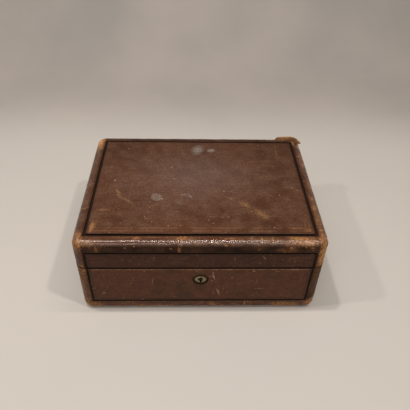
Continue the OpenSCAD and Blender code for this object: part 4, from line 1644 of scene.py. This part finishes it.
@dataclass(frozen=True)
class LiftedStrip(Piece):
    """A strip of the edging that has come away round the back right corner and curls up."""

    half: Half
    plan: Plan
    along_right: float = 9.0
    along_back: float = 26.0
    inner_inset: float = 9.0
    torn_w: float = 3.0
    overhang: float = 0.9
    lift: float = 1.2
    sink: float = 0.25
    droop: float = 1.1
    thickness: float = 0.8
    fray: float = 0.35
    columns: int = 15
    slot: ClassVar[Slot] = Slot.EDGING

    def sheet(self) -> Sheet:
        """Bend a ribbon along the outline: its outer border rises and frays.

        Returns:
            The closed sheet.
        """
        plan = self.plan
        straight_x, straight_y = plan.half_x - plan.corner_r, plan.half_y - plan.corner_r
        turn = math.pi / 2 * plan.corner_r
        corner = 2 * straight_x + turn + 2 * straight_y + turn / 2
        fine = plan.walk(np.array([plan.corner_r]), 0.8, 26)
        walk = fine.part(corner - turn / 2 - self.along_right, corner + turn / 2 + self.along_back)
        way = walk.way[:-1]
        share = (way - way[0]) / (way[-1] - way[0])
        ends = ramp(share, 0, 0.1) * ramp(share, 1, 0.86)
        across = np.linspace(0, 1, self.columns)[:, None]
        outline = plan.at(walk, 0 * way, 0)
        torn = self.fray * uneven(outline, 0, (1, 4.2, 31), (0.6, 1.9, 32))
        wave = uneven(outline, 1, (0.35, 17, 33))
        narrow = self.inner_inset - self.torn_w
        outer_inset = narrow - (narrow + self.overhang) * ends + torn
        inset = self.inner_inset + (outer_inset - self.inner_inset) * across
        rise = self.lift * ends * wave * (1 - np.cos(across * math.pi / 2)) ** 0.8
        top = self.droop * ends * across ** 4 - self.sink - rise
        below = top + self.thickness * (1 - 0.45 * across)
        upper = plan.at(walk, inset, self.half.height(top))
        under = plan.at(walk, inset + 0.15, self.half.height(below))
        uv = np.stack([np.broadcast_to(way, inset.shape), inset], -1)
        wear = np.clip(0.22 + 0.65 * across ** 3 * ends, 0, 1)
        return Sheet.from_grid(upper, uv, {"wear": wear}).shelled(under)


@dataclass(frozen=True)
class KeyholeShadeRing(Piece):
    """A dark ring of hide between the keyhole's plate and the hide round it, painted shade in the sunk
    ring.
    """

    centre: tuple[float, float, float]
    inner_r: float
    outer_r: float
    depth: float = 1.0
    dish: float = 0.3
    back: float = 2.3
    steps: int = 72
    rings: int = 7
    slot: ClassVar[Slot] = Slot.PANEL

    def sheet(self) -> Sheet:
        """Turn a dished profile round the keyhole's axis and close it behind.

        Returns:
            The closed sheet.
        """
        angle = np.linspace(0, 2 * math.pi, self.steps + 1)
        radius = np.linspace(self.inner_r, self.outer_r, self.rings)[:, None]
        share = (radius - self.inner_r) / (self.outer_r - self.inner_r)
        uv = np.stack(np.broadcast_arrays(angle[None] * self.outer_r, radius), -1)
        x, y, z = self.centre
        across, up = x + radius * np.cos(angle[:-1]), z + radius * np.sin(angle[:-1])
        dish = np.broadcast_to(y + self.depth + self.dish * np.sin(math.pi * share), across.shape)
        front = np.stack([across, dish, up], -1)
        rear = np.stack([across, np.full_like(dish, y + self.back), up], -1)
        sheet = Sheet.from_grid(front, uv, {"dye": np.ones_like(dish)}, wrap=(False, True))
        return sheet.shelled(rear)


@dataclass(frozen=True)
class LiningRing(Piece):
    """The cloth-covered lining boards of lid or base, as a ring with a softly rounded free edge."""

    plan: Plan
    outer_inset: float
    inner_inset: float
    lip_inset: float
    fixed_z: float
    rim_z: float
    free_z: float
    padding: float = 0.35
    pull: float = 7.0
    pitch: float = 4.0
    slot: ClassVar[Slot] = Slot.LINING

    def sheet(self) -> Sheet:
        """Carry the board's closed profile round the inside of the walls.

        Returns:
            The closed sheet.
        """
        way = 1 if self.free_z > self.fixed_z else -1
        radius = (self.inner_inset - self.lip_inset) / 2
        centre = self.free_z - way * radius
        angle = np.linspace(0, math.pi, 13)
        up = np.linspace(self.fixed_z, self.rim_z, 4)
        lip = np.linspace(self.rim_z, centre, 4)[:-1]
        inside = np.linspace(centre, self.fixed_z, 26)[1:]
        ends = np.minimum(np.abs(inside - centre), np.abs(inside - self.fixed_z))
        pulled = self.inner_inset - self.padding * np.exp(-ends / self.pull)
        pulled = pulled + self.padding * np.exp(-np.abs(inside - centre) / self.pull)
        inset = np.concatenate([np.full_like(up, self.outer_inset), np.full_like(lip, self.lip_inset),
                                self.lip_inset + radius * (1 - np.cos(angle)), pulled])
        z = np.concatenate([up, lip, centre + way * radius * np.sin(angle), inside])
        apart = np.append(True, np.hypot(np.diff(inset), np.diff(z)) > TINY)
        inset, z = inset[apart], z[apart]
        walk = self.plan.walk(np.array([self.plan.corner_r]), self.pitch, 6)
        points = self.plan.at(walk, inset[:, None] * np.ones(len(walk.arm)), z[:, None])
        run = np.concatenate([[0], np.cumsum(np.hypot(np.diff(inset), np.diff(z)))])
        run = np.append(run, run[-1] + self.inner_inset - self.outer_inset)[:, None]
        uv = np.stack(np.broadcast_arrays(walk.way[None], run), -1)
        return Sheet.from_grid(points, uv, wrap=(True, True))


@dataclass(frozen=True)
class CrownedPad(Piece):
    """A thin stuffed pad with a seam inside its border. It is flat where it is glued down."""

    box: np.ndarray
    faces_up: bool
    seam_inset: float = 13.0
    seam_w: float = 1.6
    pull_in: float = 0.4
    edge_share: float = 0.30
    full_share: float = 0.92
    pitch: float = 2.2
    edge_lines: tuple[float, ...] = (0, 0.15, 0.4, 0.8, 1.4, 2.2)
    slot: ClassVar[Slot] = Slot.LINING

    def sheet(self) -> Sheet:
        """Raise a crown over the pad, sew the seam into it and pull the sides in between the corners.

        The crown is (1 - |x / half|^6)^0.5 * (1 - |y / half|^6)^0.5 between the border's thickness and
        the full one, higher still inside the seam.

        Returns:
            The closed sheet.
        """
        half_x, half_y, half_z = (self.box[1] - self.box[0]) / 2
        x, y, border = slab(half_x, half_y, np.array(self.edge_lines), self.pitch)
        crown = np.sqrt((1 - np.abs(x / half_x) ** 6) * (1 - np.abs(y / half_y) ** 6))
        inside = ramp(border, self.seam_inset, self.seam_inset + 30)
        flat = np.stack([x, y, 0 * x], -1)
        puckers = bell(border, self.seam_inset, 6) * uneven(flat, 0, (0.025, 9, 41))
        height = self.edge_share + (self.full_share - self.edge_share) * crown ** 0.7 + 0.05 * inside
        height = height - 0.30 * bell(border, self.seam_inset, self.seam_w)
        height = height + puckers + inside * uneven(flat, 0, (0.02, 48, 42))
        height = 2 * half_z * np.clip(height, 0.12, 1)
        shrink_x = self.pull_in * (1 - (y / half_y) ** 2) * np.abs(x / half_x) ** 3
        shrink_y = self.pull_in * (1 - (x / half_x) ** 2) * np.abs(y / half_y) ** 3
        x, y = x - np.sign(x) * shrink_x, y - np.sign(y) * shrink_y
        rest, way = (self.box[0, 2], 1) if self.faces_up else (self.box[1, 2], -1)
        outer = np.stack([x, y, rest + way * height], -1)
        inner = np.stack([x, y, np.full_like(x, rest)], -1)
        return Sheet.from_grid(outer, np.stack([x, y], -1)).shelled(inner)

    def build(self, material: Material, *nodes: str) -> Object:
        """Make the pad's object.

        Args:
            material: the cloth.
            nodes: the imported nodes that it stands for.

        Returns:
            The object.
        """
        piece = super().build(material, *nodes)
        return piece


@dataclass(frozen=True)
class Lamp:
    """A soft rectangular lamp that points at the case."""

    name: str
    at: tuple[float, float, float]
    aim: tuple[float, float, float]
    size: tuple[float, float]
    watts: float
    colour: str = "#fffcf8"

    def build(self) -> None:
        """Hang the lamp and turn it to its aim."""
        light = bpy.data.lights.new(self.name, "AREA")
        light.shape = "RECTANGLE"
        light.size, light.size_y = (side * MM for side in self.size)
        light.energy = self.watts
        light.color = linear(self.colour)[:3]
        holder = bpy.data.objects.new(self.name, light)
        bpy.context.scene.collection.objects.link(holder)
        holder.location = Vector(self.at) * MM
        holder.rotation_euler = (Vector(self.aim) - Vector(self.at)).to_track_quat("-Z", "Y").to_euler()


@dataclass(frozen=True)
class Studio:
    """A pale paper sweep, the lamps over it and the even light round it."""

    half_width: float = 3400.0
    front: float = -1500.0
    bend_start: float = 430.0
    bend_r: float = 420.0
    height: float = 2000.0
    around: str = "#fffdfb"
    around_strength: float = 0.175
    lamps: tuple[Lamp, ...] = ()

    def build(self) -> None:
        """Bend the paper from floor to backdrop and put the lights in."""
        angle = np.linspace(0, math.pi / 2, 25)
        y = np.concatenate([[self.front], self.bend_start + self.bend_r * np.sin(angle),
                            [self.bend_start + self.bend_r]])
        z = np.concatenate([[0.0], self.bend_r * (1 - np.cos(angle)), [self.height]])
        x = np.linspace(-self.half_width, self.half_width, 3)
        points = np.stack(np.broadcast_arrays(x[None], y[:, None], z[:, None]), -1)
        sheet = Sheet.from_grid(points, points[..., :2])
        mesh = bpy.data.meshes.new("paper sweep")
        mesh.from_pydata((sheet.points * MM).tolist(), [], sheet.quads[:, ::-1].tolist())
        mesh.polygons.foreach_set("use_smooth", np.ones(len(sheet.quads), bool))
        mesh.materials.append(MattPaper("matt backdrop paper").build())
        paper = bpy.data.objects.new("paper_sweep", mesh)
        bpy.context.scene.collection.objects.link(paper)
        for lamp in self.lamps:
            lamp.build()
        world = bpy.data.worlds.new("even studio light")
        world.use_nodes = True
        background = world.node_tree.nodes["Background"]
        background.inputs["Color"].default_value = linear(self.around)
        background.inputs["Strength"].default_value = self.around_strength
        bpy.context.scene.world = world


@dataclass(frozen=True)
class ViewPoint:
    """The camera, found by fitting the photograph's straight edges. Angles are in degrees."""

    at: tuple[float, float, float] = (-13.85, -494.05, 513.49)
    pitch: float = 40.95
    yaw: float = 2.5
    roll: float = -1.83
    focal_pixels: float = 460.07
    sensor: float = 36.0

    def build(self) -> None:
        """Set up the camera: forward from yaw and pitch, then rolled about that."""
        pitch, yaw, roll = (math.radians(angle) for angle in (self.pitch, self.yaw, self.roll))
        forward = np.array([math.sin(yaw) * math.cos(pitch), math.cos(yaw) * math.cos(pitch),
                            -math.sin(pitch)])
        level = np.array([math.cos(yaw), -math.sin(yaw), 0.0])
        down = np.cross(forward, level)
        right = level * math.cos(roll) + down * math.sin(roll)
        up = level * math.sin(roll) - down * math.cos(roll)
        camera = bpy.data.cameras.new("camera")
        camera.sensor_fit = "HORIZONTAL"
        camera.sensor_width = self.sensor
        camera.lens = self.focal_pixels / PICTURE * self.sensor
        camera.clip_start, camera.clip_end = 0.01, 20
        holder = bpy.data.objects.new("camera", camera)
        bpy.context.scene.collection.objects.link(holder)
        turn = Matrix((right, up, -forward)).transposed()
        holder.matrix_world = Matrix.Translation(Vector(self.at) * MM) @ turn.to_4x4()
        bpy.context.scene.camera = holder


LID_RUBS = (
    Rub((-150, 98, 121), (10, 19, 10), 1.0),       # frayed back left corner
    Rub((-140, 112, 121), (14, 6, 8), 0.5),
    Rub((150, 104, 121), (11, 15, 9), 1.0),        # torn back right corner
    Rub((122, 112, 122), (30, 7, 6), 0.62),
    Rub((150, 60, 121), (6, 36, 7), 0.52),         # scuffs along the right side
    Rub((150, 0, 121), (5, 30, 7), 0.50),
    Rub((148, -62, 122), (6, 36, 7), 0.58),
    Rub((149, -107, 117), (12, 13, 13), 0.9),      # front right corner
    Rub((126, -110, 119), (27, 9, 10), 0.72),
    Rub((150, -112, 96), (10, 11, 22), 1.0),       # corner band below it
    Rub((-149, -106, 118), (12, 14, 11), 0.60),    # front left corner
    Rub((-136, -111, 119), (14, 8, 7), 0.50),
    Rub((-76, -106, 123), (6, 5, 4), 0.72),        # rubs along the front
    Rub((-22, -106, 123), (12, 5, 4), 0.72),
    Rub((-24, -112, 119), (3, 6, 5), 0.68),
    Rub((-26.6, -115, 114), (2.3, 5, 7.5), 0.9),   # runs down the roll
    Rub((-125, -115, 115), (1.8, 5, 6.5), 0.85),
    Rub((-90.5, -116, 117), (1.8, 4, 1.6), 1.0),   # nicks on the front of the roll
    Rub((-80, -116, 119), (1.4, 4, 1.4), 0.95),
    Rub((-142, -114, 115.5), (2.0, 4, 1.8), 0.85),
    Rub((-36.3, -116, 115.5), (1.7, 4, 2.6), 1.0),
    Rub((29.7, -116, 120.5), (2.2, 4, 1.8), 0.95),
    Rub((69, -116, 113.5), (1.5, 4, 1.8), 0.95),
    Rub((107.9, -116, 117), (1.6, 4, 3.0), 1.0),
    Rub((101.8, -116, 120.5), (1.6, 4, 1.8), 0.95),
    Rub((125.7, -116, 117.5), (1.4, 4, 1.5), 0.95),
    Rub((133.4, -116, 117), (1.6, 4, 1.6), 1.0),
    Rub((108, -115, 112), (30, 4, 6), 0.52),
    Rub((38, -107, 123), (18, 5, 4), 0.46),
    Rub((86, -108, 122), (16, 6, 5), 0.52),
    Rub((-60, -104.5, 124), (90, 2, 3), 0.46),
    Rub((112, -104, 124), (14, 3, 3), 0.6),
    Rub((-151, -20, 120), (6, 60, 8), 0.22),
)

BASE_RUBS = (
    Rub((-138, -112, 8), (18, 8, 9), 0.72),        # foot, front left
    Rub((-60, -114, 6), (34, 7, 7), 0.55),
    Rub((30, -114, 5), (40, 7, 6), 0.45),
    Rub((112, -113, 7), (30, 8, 8), 0.62),
    Rub((148, -112, 12), (10, 10, 15), 0.80),      # foot, front right
    Rub((147, -113, 32), (8, 9, 9), 0.42),
    Rub((-150, 20, 6), (8, 90, 8), 0.42),
    Rub((150, 20, 6), (8, 90, 8), 0.42),
    Rub((0, 112, 6), (130, 8, 7), 0.40),
    Rub((-148, 108, 8), (12, 12, 12), 0.70),
    Rub((148, 108, 8), (12, 12, 12), 0.70),
)

TOP_RUBS = (
    Rub((-132.5, -88, TOP_Z), (3.0, 8.5, 3), 1.0),
    Rub((131, -93, TOP_Z), (5, 3.5, 3), 0.62),
    Rub((117, -90, TOP_Z), (9, 2.5, 3), 0.5),
    Rub((70, -57, TOP_Z), (16, 13, 3), 0.24),
)

TOP_MARKS = (
    on_top(-112, -13, -104, -34, 7.5, 0.9, 0.1),  # bent scratch on the left
    on_top(-105, -32, -85, -45.5, 7.0, 0.65, 0.1),
    on_top(-133, -56.5, -113, -56, 4.2, 0.5),
    on_top(53, -42, 62, -49, 14.0, 0.8, 0.0),  # orange scuffs on the right
    on_top(72, -59, 84, -71, 16, 0.85, 0.0),
    on_top(-132.5, -82, -133, -96, 6.0, 1.0, 0.6),
    on_top(115.7, 96, 112.8, 48, 3.0, 0.5),
    on_top(66, 48, 116, 51.5, 3.6, 0.35),
    on_top(-80, -10, -64, 8, 7, 0.2, 0.0),
    on_top(20, -20, 52, -44, 3, 0.3, 0.0),
    on_top(-70, -73, -66, -71, 2.2, 0.7),
    on_top(-62, -78, -60, -78, 2.2, 0.7),
    on_top(-100, -81, -98, -82, 2.0, 0.7),
    on_top(34, -70, 36, -69, 2.4, 0.8),
    on_top(98, -0.5, 99.5, -0.5, 2.2, 0.8),
)

TOP_STAINS = (
    on_top(-4, 73, -1, 84, 24, 0.6, 0.0),  # two pale stains at the back
    on_top(1, 74, 3, 75, 9, 0.5, 0.0),
    on_top(14, 77, 21, 78, 12, 0.65, 0.0),
    on_top(-58, -30.5, -57, -32, 16, 0.27, 0.75),  # round grey one
    on_top(-51, -34.5, -50, -35, 3, 1.0),
    on_top(-116.5, 4, -115.5, 4.4, 3, 0.9),
    on_top(-40, 35, -39, 35, 2.4, 0.8),
    on_top(31, -18, 32, -18.6, 2.2, 0.8),
    on_top(39.5, -34.6, 41, -35.2, 2.2, 0.8),
    on_top(-26, -27, -17, -26, 3.6, 0.45, 0.1),
    on_top(-18, -25, -9, -34, 3.6, 0.45, 0.1),
    on_top(-30, -42, -24, -44, 12, 0.14, 0.0),
)

EDGING_MARKS = (
    Mark((149.5, -113, 113), (151.5, -112, 87), 19, 1.0, 0.4),     # right corner band, rubbed bare
    Mark((150, -108, 119), (128, -113, 116), 10, 0.5, 0.3),
    Mark((149.5, -113, 15), (148, -113, 3), 9, 0.5, 0.3),
    Mark((-148, 107, 121), (-152, 92, 119), 11, 0.85, 0.4),        # frayed back left corner
    Mark((152, 100, 121), (152, 84, 120), 8, 0.7, 0.4),
    Mark((-150, -108, 119), (-140, -113, 117), 8, 0.5, 0.3),
)

FRONT_MARKS = (
    in_front(41, 102, 43, 90, 1.8, 0.85),  # on the lid's front wall
    in_front(75, 103, 80, 97, 3.0, 0.75),
    in_front(113, 103, 116, 89, 1.8, 0.8),
    in_front(99, 101, 101, 92, 1.6, 0.7),
    in_front(14, 76, 18.5, 59, 2.3, 1.0),
    in_front(21.6, 43, 25.5, 25, 3.2, 0.9),
    in_front(67, 42, 87, 41.8, 1.7, 0.7),
    in_front(64, 77, 70, 74, 2.2, 0.7),
    in_front(92, 75.5, 101, 74.5, 1.8, 0.6),
    in_front(-126, 33, -123, 34, 4.5, 0.6, 0.1),
    in_front(72, 88, 73, 91, 2.4, 0.6),
    in_front(100, 96, 136, 100, 14, 0.20, 0.1),
)

CARRIED = {
    "wood along X": ("base_front_board", "base_back_board", "base_bottom_board", "lid_front_board",
                     "lid_back_board", "lid_top_board"),
    "wood along Y": ("base_left_board", "base_right_board", "lid_left_board", "lid_right_board"),
    "rim hide": ("base_rim_facing", "lid_rim_facing"),
    "cloth": ("base_underside_cover",),
    "plate": ("escutcheon",),
    "brass": ("hinge_left_base_leaf", "hinge_right_base_leaf", "hinge_left_lid_leaf",
              "hinge_right_lid_leaf", "hinge_base_screws", "hinge_lid_screws", "lock_plate", "lock_cap",
              "lock_screws", "link_plate", "link_screws"),
    "steel": ("hinge_pins", "lock_spring", "lock_bolt"),
}


def finishes(top_box: np.ndarray, plate_box: np.ndarray) -> dict[str, Material]:
    """Make every finish of the case.

    Args:
        top_box: box of the top panel, for its tooled lines.
        plate_box: box of the keyhole's plate, whose rim has dirt set round it.

    Returns:
        The materials by a short name.
    """
    face = np.array([plate_box[:, 0].mean(), plate_box[0, 1], plate_box[:, 2].mean()])
    breadth = np.ptp(plate_box[:, 0])
    # the plate's lit middle; outside it, the upper part most, lie painted shade and set dirt
    handled = Mark(tuple(face - (1.7, 0, 0.2)), tuple(face + (1.7, 0, -0.2)), 0.7 * breadth, 1.0, 0.75)
    # painted shade in and round the keyhole
    clogged = Mark(tuple(face - (0.6, 0, 0)), tuple(face + (0.6, 0, 0)), 0.33 * breadth, 0.9, 0.5)
    wall = LongGrainHide("long grain hide, lid's walls", marks=FRONT_MARKS, dyed="#46281e",
                         faded="#523325", deep="#291c15", gloss=0.16, thin=-0.04, stroke=0.12,
                         grain=0.45, scratched=0.685)
    edging = LongGrainHide("long grain hide, edging", marks=EDGING_MARKS, dyed="#573423",
                           faded="#664532", deep="#381e13", rubbed="#82573b", grime="#1a0d07",
                           scuff="#d0934a", polish=0.30, matt=0.42, rib_share=1.1, height=0.12,
                           gloss=0.18, thin=0.12, nick_pitch=4.0, nicks=0.14, stroke_along=False)
    recipes = {
        "top hide": LongGrainHide("long grain hide, top panel", marks=TOP_MARKS, stains=TOP_STAINS,
                                  fillets=Fillets(*top_box[1, :2])),
        "lid wall hide": wall,
        "base wall hide": replace(wall, name="long grain hide, base's walls", dyed="#583326",
                                  faded="#65402e", deep="#32261a", fibre="#a98263",
                                  fibre_dark="#855c41", scuff="#a07f64", rubbed="#8a6248",
                                  fleck="#cfb09a", stroke=0.10, scratched=0.69),
        "edging hide": edging,
        "rolled hide": replace(edging, name="waxed long grain hide, rolled edge", glance="#fff1e8",
                               polish=0.13, matt=0.22, rib_share=1.2, fine_share=0.15, gloss=0.72,
                               thin=0.08, nick_pitch=3.4, nicks=0.2),
        "frayed hide": LongGrainHide("frayed hide", dyed="#54361f", faded="#68482f", rubbed="#85603c",
                                     fibre="#c39a6a", fibre_dark="#8f6740"),
        "rim hide": LongGrainHide("skived hide on the rims", height=0.05, thin=-0.1),
        # dark hide of the ring round the keyhole's plate, painted shade
        "dark hide": LongGrainHide("hide with set dirt", dyed="#1c130f", faded="#2a1d16",
                                   deep="#120c09", height=0.05, thin=-0.6),
        "wood along X": PlanedSoftwood("planed softwood, along X", Wall.FRONT),
        "wood along Y": PlanedSoftwood("planed softwood, along Y", Wall.LEFT),
        "velvet": CottonVelvet("cut cotton velvet"),
        "cloth": CoarseCloth("glued book cloth"),
        "plate": AgedMetal("tarnished cast brass", "#a39678", "#7d7059", "#443a2e", metallic=0.75,
                           polish=0.40, matt=0.60, handled=handled, clogged=clogged),
        "brass": AgedMetal("lacquered rolled brass", "#b99a5a", "#98794a", "#5a472f"),
        "steel": AgedMetal("filed steel", "#8f8d89", "#6f6c68", "#463c34", metallic=1.0, polish=0.35),
    }
    return {key: recipe.build() for key, recipe in recipes.items()}


def dress_carried(materials: dict[str, Material]) -> None:
    """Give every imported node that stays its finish.

    Args:
        materials: the materials by short name.
    """
    for key, nodes in CARRIED.items():
        for node in nodes:
            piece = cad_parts[node]
            for place in piece.material_slots:
                place.material = materials[key]
            if not piece.material_slots:
                piece.data.materials.append(materials[key])
            log.info("%s: packed node in %s", node, materials[key].name)


def build_leather(plan: Plan, lid: Half, base: Half, materials: dict[str, Material]) -> None:
    """Build everything of hide.

    Args:
        plan: the case from above.
        lid: heights of the lid.
        base: heights of the base.
        materials: the materials by short name.
    """
    corners = ("front_left", "front_right", "back_left", "back_right")
    top_box, foot = span("lid_top_panel"), span("base_underside_cover")
    top_groove = 3.0
    face_band = plan.half_x - top_box[1, 0] - top_groove
    EdgingHide("lid_edging_hide", Body.LID, lid, plan, face_band, top_groove, LID_RUBS,
               soot=0.88).build(
        materials["edging hide"], "lid_top_edging", *(f"lid_corner_{name}" for name in corners),
        polished=materials["rolled hide"])
    EdgingHide("base_edging_hide", Body.CASE, base, plan, plan.half_x - foot[1, 0], 0.0, BASE_RUBS,
               background_wear=0.14).build(
        materials["edging hide"], "base_foot_edging", *(f"base_corner_{name}" for name in corners))
    TopPanel("lid_top_panel_hide", Body.LID, top_box, TOP_RUBS).build(
        materials["top hide"], "lid_top_panel")
    hinge, plate = span("hinge_right_base_leaf")[:, 0], span("escutcheon")
    x, _, z = plate.mean(axis=0)
    plate_r = plate[1, 0] - x
    seat_w, tucked, gap = 1.2, 0.3, 0.05  # the seat's width, how far it lies under the plate, its gap
    keyhole = RoundOpening(x, z, plate_r + seat_w)
    for label, body, half, rim_wear, rim_dirt in (
        ("lid", Body.LID, lid, 0.2, 2.0), ("base", Body.CASE, base, 0.93, 1.2),
    ):
        for wall in Wall:
            side = wall.name.lower()
            WallPanel(
                f"{label}_{side}_panel_hide", body, half, plan, wall, rim_wear=rim_wear,
                rim_dirt=rim_dirt, hinges=hinge if wall is Wall.BACK else None,
                opening=keyhole if wall is Wall.FRONT and body is Body.CASE else None,
            ).build(materials[f"{label} wall hide"], f"{label}_{side}_panel")
    LiftedStrip("lid_lifted_strip", Body.LID, lid, plan).build(materials["frayed hide"])
    # a dark ring that stands for the shade between the keyhole's plate and the hide
    KeyholeShadeRing("keyhole_seat", Body.CASE, (x, -plan.half_y, z), plate_r - tucked,
                keyhole.radius - gap).build(materials["dark hide"])


def build_lining(plan: Plan, materials: dict[str, Material]) -> None:
    """Build everything of velvet.

    Args:
        plan: the case from above.
        materials: the materials by short name.
    """
    walls = [wall.name.lower() for wall in Wall]
    base, lid = span("base_lining_front"), span("lid_lining_front")
    outer, inner = plan.half_y + base[0, 1], plan.half_y + base[1, 1]
    lip, straight = 0.6, 2.0  # step behind the base's lip, and the lid's straight edge
    base_rim = span("base_rim_facing")[1, 2]
    for label, ring in (
        ("base", LiningRing("base_lining_velvet", Body.CASE, plan, outer, inner, outer + lip,
                            base[0, 2], base_rim, base[1, 2])),
        ("lid", LiningRing("lid_lining_velvet", Body.LID, plan, outer, inner, outer,
                           lid[1, 2], lid[0, 2] + straight, lid[0, 2])),
    ):
        ring.build(materials["velvet"], *(f"{label}_lining_{wall}" for wall in walls))
    CrownedPad("base_floor_pad_velvet", Body.CASE, span("base_floor_pad"), True).build(
        materials["velvet"], "base_floor_pad")
    CrownedPad("lid_pad_velvet", Body.LID, span("lid_pad"), False).build(
        materials["velvet"], "lid_pad")


def main() -> None:
    """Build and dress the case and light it."""
    logging.basicConfig(level=logging.INFO, format="%(name)s: %(message)s")
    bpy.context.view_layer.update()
    plan = Plan(*span("base_foot_edging")[1, :2])
    materials = finishes(span("lid_top_panel"), span("escutcheon"))
    dress_carried(materials)
    build_leather(plan, Half.measured(Body.LID), Half.measured(Body.CASE), materials)
    build_lining(plan, materials)
    Studio(lamps=(
        Lamp("front softbox", (-150, -1130, 1270), (-40, -90, 60), (1200, 120), 5.6),
        Lamp("strip softbox", (50, -50, 1450), (50, -90, 60), (1150, 36), 5.6),
        Lamp("overhead lamp", (-285, -75, 1420), (-100, -60, 60), (50, 50), 4.7),
        Lamp("left lamp", (-816, -231, 1178), (0, 0, 60), (60, 60), 3.2),
        Lamp("right lamp", (470, -400, 1364), (0, 0, 60), (60, 60), 4.5),
    )).build()
    ViewPoint().build()
    bpy.context.scene.view_settings.view_transform = "Standard"


if __name__ == "__main__":
    main()
